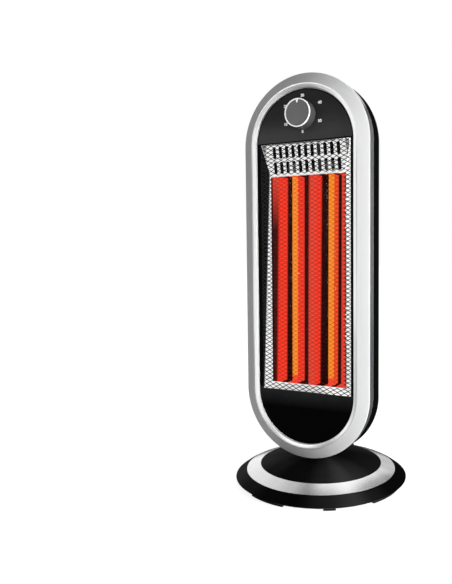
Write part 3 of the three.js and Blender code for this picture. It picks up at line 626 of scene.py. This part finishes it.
# %% [markdown]
# ## Panel and fascia
# A flat black plate fills the ring, with the window cut through it. A thinner dark grey plate lies on
# its upper part, round the knob. Both start as the same long round.

# %% Front panel
window_corner = 1.5 * mm


panel = long_plate("black_panel", panel_half, panel_y, panel_back, steps=160)
opening = block("window_tool", (-window_half, panel_y - through, window_low),
                (window_half, panel_back + through, window_high))
combine(panel, round_corners(opening, window_corner, segments=3))
knob_height = (knob_low.z + knob_high.z) / 2
bush_hole = 5.3 * mm


def bush_tool():
    return rod("bush_tool", bush_hole, panel_y - through, panel_back + through, axis="Y",
               centre=(0, knob_height), steps=32)


combine(panel, bush_tool())
soften(panel, 0.35 * mm, angle=40)
# The panel's black has painted light just below the window.
dress(panel, panel_black, "tower", "black_gloss", "front_panel")
unseen(panel, "glossy")

# %% Control fascia
fascia = long_plate("dial_plate", fascia_high.x, fascia_low.y, fascia_high.y, steps=160)
combine(fascia, block("lower_tool", (-tower_half, crest_y, ring_low.z),
                      (tower_half, panel_back, fascia_low.z)))
combine(fascia, bush_tool())
soften(fascia, 0.2 * mm, angle=40)
# The dial plate's grey carries painted light towards its bottom.
dress(fascia, fascia_grey, "tower", "fascia", "control_fascia")

# %% [markdown]
# ## Dial numbers
# Six plain numbers stand round the knob, 0 at the bottom for off and then clockwise. They stand a
# little wider than a circle, so that the knob doesn't hide those on the left. Text objects are the
# natural start, and each is made a mesh before its place is applied, so that it keeps its shape in
# any program.

# %% Dial numbers
number_height = 5.8 * mm
number_weight = 0.2 * mm
number_step = 10
numbers_across = 32 * mm
numbers_up = 26 * mm
numbers_centre = (-1.2 * mm, 2.5 * mm)     # from the knob's axis
print_depth = 0.06 * mm
numbers = []
for number in range(6):
    angle = math.radians(180 + 60 * number)     # clockwise from the top
    spot = (numbers_centre[0] + numbers_across * math.sin(angle), fascia_low.y,
            knob_height + numbers_centre[1] + numbers_up * math.cos(angle))
    only()
    bpy.ops.object.text_add(location=spot, rotation=(math.pi / 2, 0, 0))
    text = bpy.context.object
    text.data.body = str(number * number_step)
    text.data.size = number_height
    text.data.align_x = "CENTER"
    text.data.align_y = "CENTER"
    text.data.extrude = print_depth
    text.data.offset = number_weight
    bpy.ops.object.convert(target="MESH")
    bpy.ops.object.transform_apply()
    numbers.append(bpy.context.object)
dial = joined(numbers)
dial.name = "dial_numbers"
# The numbers' white also glows, a painted light.
dress(dial, glowing_white_print, "tower", None)

# %% [markdown]
# ## The guard
# Expanded metal is a sheet that is slit and stretched into diamonds. A grid is poked, so each cell
# gets a cross, and the grid's own edges are dissolved, which leaves only the diagonals: whole diamonds
# with half ones along the border. The Wireframe modifier turns them into strands.

# %% Wire guard
diamond_width = 11.3 * mm
diamond_height = 6.25 * mm
strand = 1.7 * mm
glare_left = -58 * mm       # over the glowing chamber the strands have a painted red glow and are faint
glare_right = 64 * mm
guard_y = (guard_low.y + guard_high.y) / 2
guard_width = guard_high.x - guard_low.x
guard_tall = guard_high.z - guard_low.z
guard_middle = (guard_low.z + guard_high.z) / 2
columns = round(guard_width / diamond_width)
rows = round(guard_tall / diamond_height)

guard = upright("wire_guard", bpy.ops.mesh.primitive_grid_add,
                (0, guard_y, guard_middle), guard_width - strand, guard_tall - strand,
                x_subdivisions=columns, y_subdivisions=rows)
edit(guard, whole=True)
bpy.ops.mesh.poke()
choose(lambda edge: not edge.is_boundary and (
    abs(edge.verts[0].co.x - edge.verts[1].co.x) < hair
    or abs(edge.verts[0].co.z - edge.verts[1].co.z) < hair), "edges")
bpy.ops.mesh.dissolve_edges(use_verts=False)
leave()
modify(guard, "WIREFRAME", thickness=strand, use_even_offset=False, use_boundary=True)
print("the guard has", columns, "by", rows, "diamonds")
dress(guard, guard_wire, "tower", "guard_wire", "mesh_guard")
unseen(guard, "glossy")
# The strands over the chamber get the painted red glow.
repaint(guard, guard_painted_glow, lambda face: glare_left < at(face).x < glare_right
        and chamber_low < at(face).z < chamber_high)

# %% [markdown]
# ## The polished surround
# Behind the guard, a bright sheet leads in to the heating chamber on four slopes. Its long upper slope
# has two rows of vent slots. It is drawn as a rectangle of edges that is extruded inwards step by step,
# thickened with Solidify, and then slotted.

# %% Surround
sheet = 0.9 * mm
slot_columns = 11
slot_pitch = 10.5 * mm
slot_width = 5.9 * mm
slot_height = 17.6 * mm
slot_gap = 4.4 * mm
slot_margin = 3.2 * mm
shade_start = (-chamber_half - 1.5 * mm, chamber_high)
shade_slope = 35            # rise for each step across
shade_blur = 24 * mm
slope_start = 1 * mm        # the slopes begin this far behind the sheet's front


def face_front(piece):
    """Turns an open sheet's faces to the front, so that its thickness grows backwards."""
    edit(piece, whole=True)
    bpy.ops.mesh.normals_make_consistent(inside=False)
    work = bmesh.from_edit_mesh(piece.data)
    facing = sum(face.normal.y * face.calc_area() for face in work.faces)
    if facing > 0:
        bpy.ops.mesh.flip_normals()
    leave()


surround = upright("polished_surround", bpy.ops.mesh.primitive_plane_add,
                   (0, surround_low.y, guard_middle), guard_width, guard_tall)
edit(surround, whole=True)
bpy.ops.mesh.delete(type="ONLY_FACE")
bpy.ops.mesh.select_all(action="SELECT")
outline = (guard_high.x, guard_low.z, guard_high.z, surround_low.y)
for inner in ((window_half, window_low, window_high, surround_low.y),
              (chamber_half, chamber_low, chamber_high, surround_high.y - sheet)):
    half, low, high, y = outline
    new_half, new_low, new_high, new_y = inner
    shift = Vector((0, new_y - y, (new_low + new_high - low - high) / 2))
    bpy.ops.mesh.extrude_region_move(TRANSFORM_OT_translate={"value": shift})
    size = (new_half / half, 1, (new_high - new_low) / (high - low))
    bpy.ops.transform.resize(value=size, center_override=(0, new_y, (new_low + new_high) / 2))
    outline = inner
leave()
face_front(surround)
modify(surround, "SOLIDIFY", thickness=sheet, offset=-1, use_even_offset=True)

slot = block("slot_tool", (-slot_width / 2, surround_low.y - through, -slot_height / 2),
             (slot_width / 2, surround_high.y + through, slot_height / 2))
round_corners(slot, slot_width * 0.35, segments=3)
slots = []
for row in range(2):
    for column in range(slot_columns):
        x = (column - (slot_columns - 1) / 2) * slot_pitch
        z = window_high - slot_margin - slot_height / 2 - row * (slot_height + slot_gap)
        slots.append(copied(slot, (x, 0, z)))
bpy.data.objects.remove(slot)
combine(surround, joined(slots))
soften(surround, 0)


bright_sheet = {"colour": (0.95, 0.95, 0.955), "roughness": 0.06, "metallic": 0.85, "grain": 120,
                "spread": 0.02, "tint": 0.03}


def sheet_with_painted_dark(name, start, slope, blur):
    """Polished sheet with a painted dark reflection: it turns black above a slanting line through the
    start.
    """
    material = finish(name, **bright_sheet)
    tree = material.node_tree
    line = slope * start[0] - start[1]
    below = mapped(tree, measured_in(tree, "DOT_PRODUCT", (slope, 0, -1)), line - blur, line + blur)
    shaded = mixed(tree, below, (0.003, 0.003, 0.003, 1), base_of(material))
    feed(tree, shader_of(material), {"Base Color": shaded})
    return material


slope_with_painted_dark = sheet_with_painted_dark("slope_with_painted_dark", shade_start, shade_slope, shade_blur)
dress(surround, finish("bright_sheet", **bright_sheet), "tower", "polished_sheet", "reflector_frame")
unseen(surround, "glossy")
# The left slope gets a painted dark reflection above a slanting line.
repaint(surround, slope_with_painted_dark, lambda face: at(face).x < -chamber_half
        and face.normal.x > 0.3)
# Painted reflection: the right and lower slopes glow white for the bright room they mirror.
sheet_painted_white_glow = finish("sheet_painted_white_glow", (0.3, 0.3, 0.3), 0.2, metallic=0.6, grain=120)
glow(sheet_painted_white_glow, (1, 0.98, 0.97), 0.68)
repaint(surround, dull_sheet, lambda face: face.normal.y > 0.15)
# The right and lower slopes get the painted white glow.
repaint(surround, sheet_painted_white_glow, lambda face: at(face).y > surround_low.y + slope_start
        and (face.normal.x < -0.3 or face.normal.z > 0.3))

# %% [markdown]
# ## The reflector
# Two troughs of polished sheet stand behind the tubes. Each mirrors its tube as bands of red with dark
# gaps between them. Real mirror reflections of a thin tube need a great many samples, so the bands are
# a glow by place across the sheet, over a dark finish that reflects next to nothing.

# %% Trough sheet
trough_depth = 28.5 * mm
trough_power = 2.6
ridge = 3.4 * mm
trough_columns = 24
sheet_overlap = 1.6 * mm     # the sheet is longer than the chamber by this
sheet_half = sheet_high.x - sheet
trough_half = (sheet_half - ridge / 2) / 2
trough_x = (sheet_half + ridge / 2) / 2
trough_floor = sheet_high.y - sheet


def trough_y(x):
    share = min(1, abs(abs(x) - trough_x) / trough_half)
    return trough_floor - trough_depth * share ** trough_power


reflector = upright("trough_reflector", bpy.ops.mesh.primitive_grid_add,
                    (0, 0, (chamber_low + chamber_high) / 2), 2 * sheet_half,
                    chamber_high - chamber_low + sheet_overlap,
                    x_subdivisions=4 * trough_columns, y_subdivisions=1)
edit(reflector)
places = sorted({round(corner.co.x, 6) for corner in reflector.data.vertices})
for x in places:
    choose(lambda corner: abs(corner.co.x - x) < hair)
    bpy.ops.transform.translate(value=(0, trough_y(x), 0))
leave()
face_front(reflector)
modify(reflector, "SOLIDIFY", thickness=sheet, offset=-1)
soften(reflector, 0)

# %% Glow on the troughs
maroon = (0.035, 0.003, 0.003)
bright_red = (0.9, 0.042, 0.02)
dark = (0.003, 0.0008, 0.0006)
orange_red = (0.86, 0.075, 0.02)
ridge_dark = (0.02, 0.003, 0.002)
salmon = (0.78, 0.06, 0.035)
left_bands = [(-1, maroon), (-0.84, bright_red), (-0.53, dark), (-0.14, orange_red), (0.0, bright_red),
              (0.44, ridge_dark)]
right_bands = [(-1, salmon), (-0.78, bright_red), (-0.6, dark), (-0.14, orange_red), (0.27, dark),
               (0.5, salmon)]
band_blur = 0.06     # share of a trough's half-width over which one band turns into the next
band_slant = 0.009
band_pivot = 450 * mm
band_change = 395 * mm      # above this height the leftmost band turns from maroon to red


def glowing(name, low_bands, high_bands):
    """A finish that glows in slightly slanted bands of (place across, colour), from the left. The bands
    turn into the high ones towards the top."""
    material = finish(name, (0.02, 0.006, 0.005), 0.5, specular=0.0, grain=150, spread=0.04)
    tree = material.node_tree
    pivot = band_slant * band_pivot
    across = mapped(tree, measured_in(tree, "DOT_PRODUCT", (1, 0, -band_slant)), -sheet_half - pivot,
                    sheet_half - pivot)
    blur = band_blur * trough_half
    shades = []
    for bands in (low_bands, high_bands):
        stops = [(0, bands[0][1])]
        for (_, before), (x, colour) in zip(bands, bands[1:]):
            for edge, shade in ((x - blur / 2, before), (x + blur / 2, colour)):
                stops.append(((edge + sheet_half) / (2 * sheet_half), shade))
        shades.append(ramped(tree, across, stops))
    glow(material, mixed(tree, mapped(tree, height_in(tree), band_change, chamber_high), *shades))
    return material


bands = [(-trough_x + share * trough_half, colour) for share, colour in left_bands]
bands += [(trough_x + share * trough_half, colour) for share, colour in right_bands]
glowing_sheet = glowing("glowing_sheet", bands, [(bands[0][0], salmon), *bands[1:]])
dress(reflector, glowing_sheet, "tower", "glowing_sheet", "reflector")
repaint(reflector, dull_sheet, lambda face: face.normal.y > 0.1)
unseen(reflector, "diffuse", "glossy")

# %% [markdown]
# ## Carbon tubes
# Each tube is quartz, open at both ends, with a carbon ribbon wound inside it. The ribbon is one edge
# that the Screw modifier winds up the tube. It glows at a strength of one, so it renders as its colour,
# which is red at the foot and orange above. The glass is nearly clear.

# %% Glass and carbon
orange = (0.87, 0.24, 0.012)
ribbon_radius = 3.9 * mm
ribbon_aside = 0.3 * mm
ribbon_lean = 0.007          # the ribbon leans a little from one side of its tube to the other
ribbon_width = 5.6 * mm
ribbon_pitch = 6.4 * mm
ribbon_steps = 20
ribbon_thickness = 0.3 * mm
glass_wall = 1.3 * mm
red_foot = 9.5 * mm         # the ribbon's length that glows red
glow_start = chamber_low + red_foot
glow_blur = 1.5 * mm

hot_carbon = finish("hot_carbon", (0.3, 0.08, 0.01), 0.8, grain=900)
tree = hot_carbon.node_tree
lit = mapped(tree, height_in(tree), glow_start - glow_blur, glow_start + glow_blur)
glow(hot_carbon, ramped(tree, lit, [(0, bright_red), (1, orange)]))

quartz = finish("quartz", (0.98, 0.9, 0.82), 0.04, specular=0.05, grain=200, spread=0.02, tint=0.01)
feed(quartz.node_tree, shader_of(quartz), {"Transmission Weight": 1, "IOR": 1.04, "Alpha": 0.12})

for side in ("left", "right"):
    tube_low, tube_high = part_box(f"tube_{side}")
    centre = (tube_low + tube_high) / 2
    outer = (tube_high.x - tube_low.x) / 2
    inner = outer - glass_wall
    tube = turned(f"quartz_{side}", [(outer, tube_low.z), (outer, tube_high.z), (inner, tube_high.z),
                                     (inner, tube_low.z)], centre=(centre.x, centre.y), steps=48,
                  ends="meet")
    soften(tube, 0.3 * mm, angle=60)
    dress(tube, quartz, "tower", "quartz", f"tube_{side}")
    unseen(tube, "glossy")

    ribbon = single_edge(f"carbon_ribbon_{side}", (ribbon_radius, 0, 0),
                         (ribbon_radius, 0, ribbon_width))
    turns = int((tube_high.z - tube_low.z - ribbon_width) / ribbon_pitch)
    modify(ribbon, "SCREW", axis="Z", screw_offset=ribbon_pitch, iterations=turns, steps=ribbon_steps,
           render_steps=ribbon_steps, use_merge_vertices=False)
    modify(ribbon, "SOLIDIFY", thickness=ribbon_thickness, offset=-1)
    ribbon.data.transform(Matrix.Translation((0, 0, -(tube_high.z - tube_low.z) / 2)))
    ribbon.data.transform(Matrix(((1, 0, ribbon_lean, 0), (0, 1, 0, 0), (0, 0, 1, 0), (0, 0, 0, 1))))
    ribbon.location = (centre.x + ribbon_aside, centre.y, centre.z)
    only(ribbon)
    bpy.ops.object.transform_apply()
    edit(ribbon)
    close_up()
    dress(ribbon, hot_carbon, "tower", "hot_carbon", f"filament_{side}")
    unseen(ribbon, "diffuse", "glossy")

# %% [markdown]
# ## The knob
# The knob is three pieces that turn together: a dark body that flares a little to the back, a bright
# rim, and a grey face with a white pointer tooth at the top.

# %% Knob
rim_low, rim_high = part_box("knob_rim")
face_low, face_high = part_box("knob_face")
knob_radius = (rim_high.x - rim_low.x) / 2
knob_flare = (knob_high.x - knob_radius) * 0.4
rim_width = 1.6 * mm
rim_round = 0.4 * mm
face_radius = face_high.x
face_seat = 2 * mm          # the body's ledge that the face sits on
shaft_hole = 3.3 * mm
shaft_depth = 10 * mm
knob_at = {"axis": "Y", "centre": (0, knob_height), "steps": 96}

body = turned("knob_body", [
    (face_radius - face_seat, knob_low.y),
    (face_radius - face_seat, rim_high.y + seam),
    (knob_radius, rim_high.y + seam),
    (knob_radius + knob_flare / 2, (rim_high.y + knob_high.y) / 2),
    (knob_radius + knob_flare, knob_high.y),
], ends="flat", **knob_at)
combine(body, rod("shaft_tool", shaft_hole, knob_high.y - shaft_depth, knob_high.y + through,
                  axis="Y", centre=(0, knob_height), steps=32))
soften(body, 0.5 * mm, segments=3, angle=30)
dress(body, knob_black, "knob", "knob_body", "knob")

rim = turned("bright_rim", [
    (knob_radius - rim_width, rim_low.y + rim_round / 2),
    (knob_radius - rim_width / 2, rim_low.y),
    (knob_radius, rim_low.y + rim_round),
    (knob_radius, rim_high.y),
    (knob_radius - rim_width, rim_high.y),
], ends="meet", **knob_at)
soften(rim, 0.25 * mm, angle=15)
# The rim's chrome glows, a painted highlight.
dress(rim, bright_chrome, "knob", "bright_chrome", "knob_rim")

face_dish = 0.5 * mm
face_hub = 2 * mm
face_edge = 0.1 * mm
face_undercut = 1.5 * mm
face = turned("knob_disc", [
    (face_hub, face_low.y + face_dish),
    (face_radius * 0.6, face_low.y + face_dish * 0.8),
    (face_radius * 0.92, face_low.y + face_dish * 0.3),
    (face_radius, face_low.y + face_edge),
    (face_radius - face_undercut, face_high.y),
], ends="flat", **knob_at)
soften(face, 0.2 * mm, angle=40)
dress(face, knob_grey, "knob", "knob_face", "knob_face")

tooth_width = 3.2 * mm
tooth_length = 4 * mm
tooth_rise = 0.1 * mm        # out of the face, and tooth_sink is how deep it stands in it
tooth_sink = 0.5 * mm
tooth_top = knob_height + face_radius
tooth = block("pointer", (-tooth_width / 2, face_low.y - tooth_rise, tooth_top - tooth_length),
              (tooth_width / 2, face_low.y + tooth_sink, tooth_top))
edit(tooth)
choose(lambda corner: corner.co.z < tooth_top - tooth_length / 2)
bpy.ops.transform.resize(value=(0.5, 1, 1), center_override=(0, face_low.y, knob_height))
leave()
soften(tooth, 0.15 * mm)
# The tooth's white also glows, a painted light.
dress(tooth, glowing_white_print, "knob", None)

# %% [markdown]
# ## The rear casing
# The back is a shell that narrows towards the rear, with two groups of vents and four deep screw
# holes. It is the same long round again, pulled in along a curve, with lower corners that are fuller
# than its upper ones. It is rounded first, and the vents and holes are then cut with solids.

# %% Casing shape
casing_half = casing_high.x
casing_front = ring_high.y + seam
casing_wall = 2.5 * mm
casing_round = 3 * mm
casing_side_length = 22 * mm
casing_side = casing_front + casing_side_length
casing_edge = 4 * mm
casing_edge_inset = 0.8 * mm
casing_back = casing_high.y
casing_back_inset = 52.6 * mm
taper_power = 1.5
taper_steps = 14
casing_flare = 8 * mm


def casing_line(inset):
    """Points down the casing's outside, moved in by a wall, with how full the lower corners are."""
    line = [(casing_half - inset, casing_front, 0), (casing_half - inset, casing_side, casing_flare)]
    start = casing_side + casing_edge
    for i in range(taper_steps + 1):
        share = i / taper_steps
        half = casing_half - casing_edge_inset - casing_back_inset * share ** taper_power
        line.append((half - inset, start + (casing_back - inset - start) * share, casing_flare))
    return line


def casing_solid(name, inset):
    line = casing_line(inset)
    return long_round(name, [(half, y) for half, y, _ in line], flares=[flare for _, _, flare in line])


casing = casing_solid("back_shell", 0)
modify(casing, "BEVEL", width=casing_round, segments=4, limit_method="ANGLE",
       angle_limit=math.radians(24))

# %% Casing hollow, vents and screw holes
spigot_half = tower_half - ring_wall - seam
spigot_y = casing_low.y
combine(casing, long_plate("spigot", spigot_half, spigot_y, casing_front + lap), "UNION")
edit(casing)
close_up()     # the union leaves slivers along the rounded rim, which the next cuts would trip over
hollow = casing_solid("hollow", casing_wall)
mouth = long_plate("mouth", spigot_half - casing_wall, spigot_y - through, casing_front + 2 * lap)
combine(casing, hollow)
combine(casing, mouth)

post_radius = 7 * mm
head_hole = 4.5 * mm
shank_hole = 2.4 * mm
shank_length = 3 * mm
post_gap = 9.3 * mm          # from the panel's back to the posts
post_front = panel_back + post_gap
post_inset = 3 * mm          # the posts stay this far inside the casing's outline
post_cover = 0.2 * mm        # and their ends this far under its back
head_y = post_front + shank_length
screw_boxes = [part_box(f"casing_screw_{i}") for i in range(1, 5)]
post_half = abs(screw_boxes[0][0].x + screw_boxes[0][1].x) / 2
post_heights = sorted({round((low.z + high.z) / 2, 5) for low, high in screw_boxes})
posts = []
tools = []
for x in (-post_half, post_half):
    for z in post_heights:
        place = {"axis": "Y", "centre": (x, z), "steps": 40}
        posts.append(rod("post", post_radius, post_front, casing_back, **place))
        tools.append(rod("head", head_hole, head_y, casing_back + through, **place))
        tools.append(rod("shank", shank_hole, post_front - through, head_y + lap, **place))
posts = joined(posts)
reach = casing_solid("reach", post_cover)
combine(reach, long_plate("forward", casing_half - post_inset, post_front - 2 * lap,
                          casing_front + through), "UNION")
combine(posts, reach, "INTERSECT")
combine(casing, posts, "UNION")
edit(casing)
close_up()

vent_rows = 7
vent_width = 64 * mm
vent_height = 3.2 * mm
vent_pitch = 9 * mm
vent_from_middle = 92 * mm
vent = block("vent", (-vent_width / 2, casing_back - casing_wall - 2 * lap, -vent_height / 2),
             (vent_width / 2, casing_back + through, vent_height / 2))
round_corners(vent, vent_height * 0.44, segments=4)
for end in (-1, 1):
    for row in range(vent_rows):
        height = middle + end * vent_from_middle + (row - (vent_rows - 1) / 2) * vent_pitch
        tools.append(copied(vent, (0, 0, height)))
bpy.data.objects.remove(vent)
neck_low, neck_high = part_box("neck_collar")
neck_bore = 16 * mm
tools.append(rod("neck_tool", neck_bore, ring_low.z - through, neck_high.z, steps=64))
combine(casing, joined(tools))
only(casing)
bpy.ops.object.shade_smooth_by_angle(angle=math.radians(35))
modify(casing, "WEIGHTED_NORMAL", keep_sharp=True, weight=100)
# Painted shade: the casing's front and sides take a darker black without shine, and only the faces that
# look back get the lighter, shinier casing_black.
dress(casing, black_matte, "tower", "black_matte", "rear_casing")
repaint(casing, casing_black, lambda face: face.normal.y > 0.08)
unseen(casing, "glossy")     # a dark reflection of it would hide the silver band's own shine

# %% [markdown]
# ## Neck collar
# The collar joins the tower to the base. It is a plain turned sleeve whose top is cut by the casing's
# own shape, so that the two meet all round without a gap.

# %% Neck collar
collar = rod("neck_sleeve", neck_high.x, neck_low.z, neck_high.z)
combine(collar, casing_solid("collar_tool", -seam))
combine(collar, rod("bore_tool", neck_bore, neck_low.z - through, neck_high.z + through, steps=64))
soften(collar, 0.4 * mm, angle=40)
dress(collar, black_matte, "tower", "black_matte", "neck_collar")
unseen(collar, "glossy")

# %% [markdown]
# ## The base
# The base is a lathe's work: an outer skirt, a seat for the silver band, and a low dome. The shell and
# the band are turned from their sections, and their edges are rounded.

# %% Base shell
cover_low, cover_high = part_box("base_cover")
skirt_radius = cover_high.x
skirt_tuck = 3.1 * mm
skirt_lip = 2.5 * mm
skirt_width = 17 * mm
skirt_rise = 10.4 * mm
band_width = 22.1 * mm
band_rise = 7.9 * mm
band_thickness = 1.6 * mm
band_crown = 0.25 * mm
shell_wall = 2.5 * mm
dome_flat = 30 * mm
dome_steps = 12
skirt_edge = cover_low.z + skirt_lip
band_outer = skirt_radius - skirt_width
band_low = skirt_edge + skirt_rise
band_inner = band_outer - band_width
band_high = band_low + band_rise
dome_top = cover_high.z
hub_hole = 16.2 * mm


def dome_line(drop):
    line = []
    for i in range(dome_steps + 1):
        radius = band_inner + (dome_flat - band_inner) * i / dome_steps
        share = (radius - dome_flat) / (band_inner - dome_flat)
        line.append((radius, dome_top - (dome_top - band_high) * share ** 2 - drop))
    return line


seat_drop = band_thickness + seam
shell = turned("base_shell", [
    (skirt_radius - skirt_tuck, cover_low.z),
    (skirt_radius, skirt_edge),
    (skirt_radius - skirt_width * 0.5, skirt_edge + skirt_rise * 0.58),
    (band_outer + seam, band_low),
    (band_outer + seam, band_low - seat_drop),
    (band_inner - seam, band_high - seat_drop),
    (band_inner - seam, band_high),
    *dome_line(0)[1:],
    (hub_hole, dome_top),
    (hub_hole, dome_top - shell_wall),
    *reversed(dome_line(shell_wall)[1:]),
    (band_inner - seam, band_high - seat_drop - shell_wall),
    (band_outer, band_low - seat_drop - shell_wall),
    (skirt_radius - skirt_tuck - shell_wall, skirt_edge),
    (skirt_radius - skirt_tuck - shell_wall, cover_low.z),
], steps=192, ends="meet")
inlet_low, inlet_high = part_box("cord_inlet")
inlet_height = (inlet_low.z + inlet_high.z) / 2
inlet_radius = inlet_high.x
combine(shell, rod("inlet_tool", inlet_radius + seam, inlet_low.y, inlet_high.y + through, axis="Y",
                   centre=(0, inlet_height), steps=48))
soften(shell, 0.6 * mm, segments=3, angle=25)
# The dome and the skirt get black with sheens painted round the axis.
dress(shell, black_painted_sheen, "base", "black_gloss", "base_cover")
repaint(shell, skirt_painted_sheen, lambda face: math.hypot(*at(face).xy) > band_outer)

# %% Silver band
band = turned("silver_band", [
    (band_outer, band_low),
    (band_outer - band_width / 2, (band_low + band_high) / 2 + band_crown),
    (band_inner, band_high),
    (band_inner, band_high - band_thickness),
    (band_outer, band_low - band_thickness),
], steps=192, ends="meet")
soften(band, 0.4 * mm, segments=3, angle=25)
# The band's sheen round the axis is painted into its colour.
dress(band, silver_painted_sheen, "base", "silver_paint", "base_ring")

# %% Inlet bush
bush_bore = 3.2 * mm
outer_chamfer = (0.5 * mm, 0.8 * mm)     # across, along
inner_chamfer = (0.6 * mm, 1 * mm)
bush = turned("inlet_bush", [
    (inlet_radius, inlet_low.y),
    (inlet_radius, inlet_high.y - outer_chamfer[1]),
    (inlet_radius - outer_chamfer[0], inlet_high.y),
    (bush_bore + inner_chamfer[0], inlet_high.y),
    (bush_bore, inlet_high.y - inner_chamfer[1]),
    (bush_bore, inlet_low.y),
], axis="Y", centre=(0, inlet_height), steps=48, ends="meet")
soften(bush, 0.2 * mm, angle=25)
dress(bush, rubber, "base", "rubber", "cord_inlet")

# %% [markdown]
# ## Pieces that keep their model
# The pieces inside, the feet and the plate already have their right shape. They only get a finish.

# %% Finishes on the kept pieces
kept = {
    "thermal_cutout": brown_resin, "terminal_block": ceramic, "wire_loom": wire_sleeve,
    "rotary_switch": black_matte, "swivel_hub": grey_nylon, "swivel_arm": plated_steel,
    "switch_shaft": plated_steel, "base_plate": black_steel, "bearing_washer": white_nylon,
    "drive_motor": plated_steel, "drive_crank": white_nylon, "tip_switch": black_matte,
    "tip_plunger": black_matte, "tip_spring": plated_steel,
}
# The tube holders carry the troughs' painted reflection of the tubes as a glow.
for end in ("top", "bottom"):
    kept[f"tube_holder_{end}"] = glowing_sheet
    kept[f"tube_cap_left_{end}"] = kept[f"tube_cap_right_{end}"] = ceramic
for i in range(1, 5):
    kept[f"casing_screw_{i}"] = screw_steel
    kept[f"base_screw_{i}"] = screw_steel
    kept[f"foot_long_{i}"] = rubber
    kept[f"foot_short_{i}"] = rubber
for name, material in kept.items():
    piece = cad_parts[name]
    piece.data.materials.clear()
    piece.data.materials.append(material)
    unseen(piece, "glossy")
repaint(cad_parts["tube_holder_top"], black_matte, lambda face: face.normal.z > 0.5)
print(len(kept), "kept pieces")

# %% [markdown]
# ## The studio
# Gloss shows what stands round the object, so the room matters as much as the lamp. The floor and the
# world are white to the camera, and the world is a plain grey for the light it gives and for
# reflections. Cards that only reflections see then shape the silver: bright ones stand where it has to
# shine, and a dark one where it has to stay dark. In reflections the floor is dark in two sectors.

# %% World and floor
world_light = 0.26
floor_grey = 0.85           # what the floor shows the camera and throws back on the object
floor_dark = 0.1            # what a reflection shows in the dark sectors
front_sector = [(-90, 1), (-58, 1), (-50, 0), (-12, 0), (4, 1), (270, 1)]     # (bearing, 0 for dark)
rear_sector = [(-90, 1), (80, 1), (98, 0), (238, 0), (258, 1)]
front_reach = (1.3, 1.6)    # metres from the object, where the front sector ends
front_least = 0.05


def seen(tree):
    """A value of one for what the camera sees, directly or through glass."""
    path = added(tree, "LightPath", {}).outputs
    return both(tree, "MAXIMUM", path["Is Camera Ray"], path["Is Transmission Ray"])


world = bpy.data.worlds.new("studio")
bpy.context.scene.world = world
world.use_nodes = True
tree = world.node_tree
feed(tree, tree.nodes["Background"], {"Color": (1, 1, 1, 1),
                                      "Strength": mapped(tree, seen(tree), start=world_light)})

only()
bpy.ops.mesh.primitive_plane_add(size=30)
floor = bpy.context.object
floor.name = "floor"
floor_paint = paint_of("floor_paint", Roughness=0.9, Specular_IOR_Level=0,
                       Emission_Color=(1, 1, 1, 1))
tree = floor_paint.node_tree
far = mapped(tree, measured_in(tree, "LENGTH"), *front_reach, start=front_least)
front = ramped(tree, bearing_in(tree), at_bearings(front_sector))
rear = ramped(tree, bearing_in(tree), at_bearings(rear_sector))
glossy = added(tree, "LightPath", {}).outputs["Is Glossy Ray"]
bright = both(tree, "MULTIPLY", rear, both(tree, "MAXIMUM", far, front))
mirrored = both(tree, "MULTIPLY", glossy, bright)
shaded = mapped(tree, both(tree, "SUBTRACT", glossy, mirrored), start=floor_grey, end=floor_dark)
lift = mapped(tree, both(tree, "MAXIMUM", seen(tree), mirrored), end=floor_grey)
feed(tree, shader_of(floor_paint), {"Base Color": shaded, "Emission Strength": lift})
floor.data.materials.append(floor_paint)

# %% Cards
card_distance = 2.2


def card(name, start, end, shade, foot=0.0, top=3.2):
    """A curved upright card from one bearing to another, in degrees from the front towards +X."""
    bearing = math.radians(start)
    across, back = card_distance * math.sin(bearing), -card_distance * math.cos(bearing)
    piece = single_edge(name, (across, back, foot), (across, back, top))
    edit(piece, whole=True)
    bpy.ops.mesh.spin(steps=32, angle=math.radians(start - end), center=(0, 0, 0), axis=(0, 0, 1))
    leave()
    paint = paint_of(name, Base_Color=(0, 0, 0, 1), Specular_IOR_Level=0)
    glow(paint, (shade, shade, shade))
    piece.data.materials.append(paint)
    unseen(piece, "camera", "diffuse", "shadow", "transmission")
    print(name, "spans bearings", start, "to", end)


card("front_box", 5, 58, 1.1)
card("side_strip", 84, 100, 2.5)
card("rear_grey", 102, 176, 0.11)
card("rear_box", 177, 261, 1.15, top=4.4)
card("left_strip", -71, -50, 1.8)
card("high_box", -50, 5, 2.2, foot=0.95, top=2.4)

# %% Lamp
lamp_bearing = math.radians(83)
lamp_distance, lamp_height, lamp_size = 2.2, 0.33, 0.6     # metres
lamp_watts = 56
lamp_aim = Vector((0, 0, 0.3))

only()
bpy.ops.object.light_add(type="AREA", location=(
    lamp_distance * math.sin(lamp_bearing), -lamp_distance * math.cos(lamp_bearing), lamp_height))
lamp = bpy.context.object
lamp.name = "key"
lamp.data.energy = lamp_watts
lamp.data.size = lamp_size
unseen(lamp, "glossy")     # it lights the object and isn't mirrored in it
lamp.rotation_euler = (lamp_aim - lamp.location).to_track_quat("-Z", "Y").to_euler()

# %% [markdown]
# ## Colours
# The Standard view keeps colours as they are written.

# %% Finish
bpy.context.scene.view_settings.view_transform = "Standard"
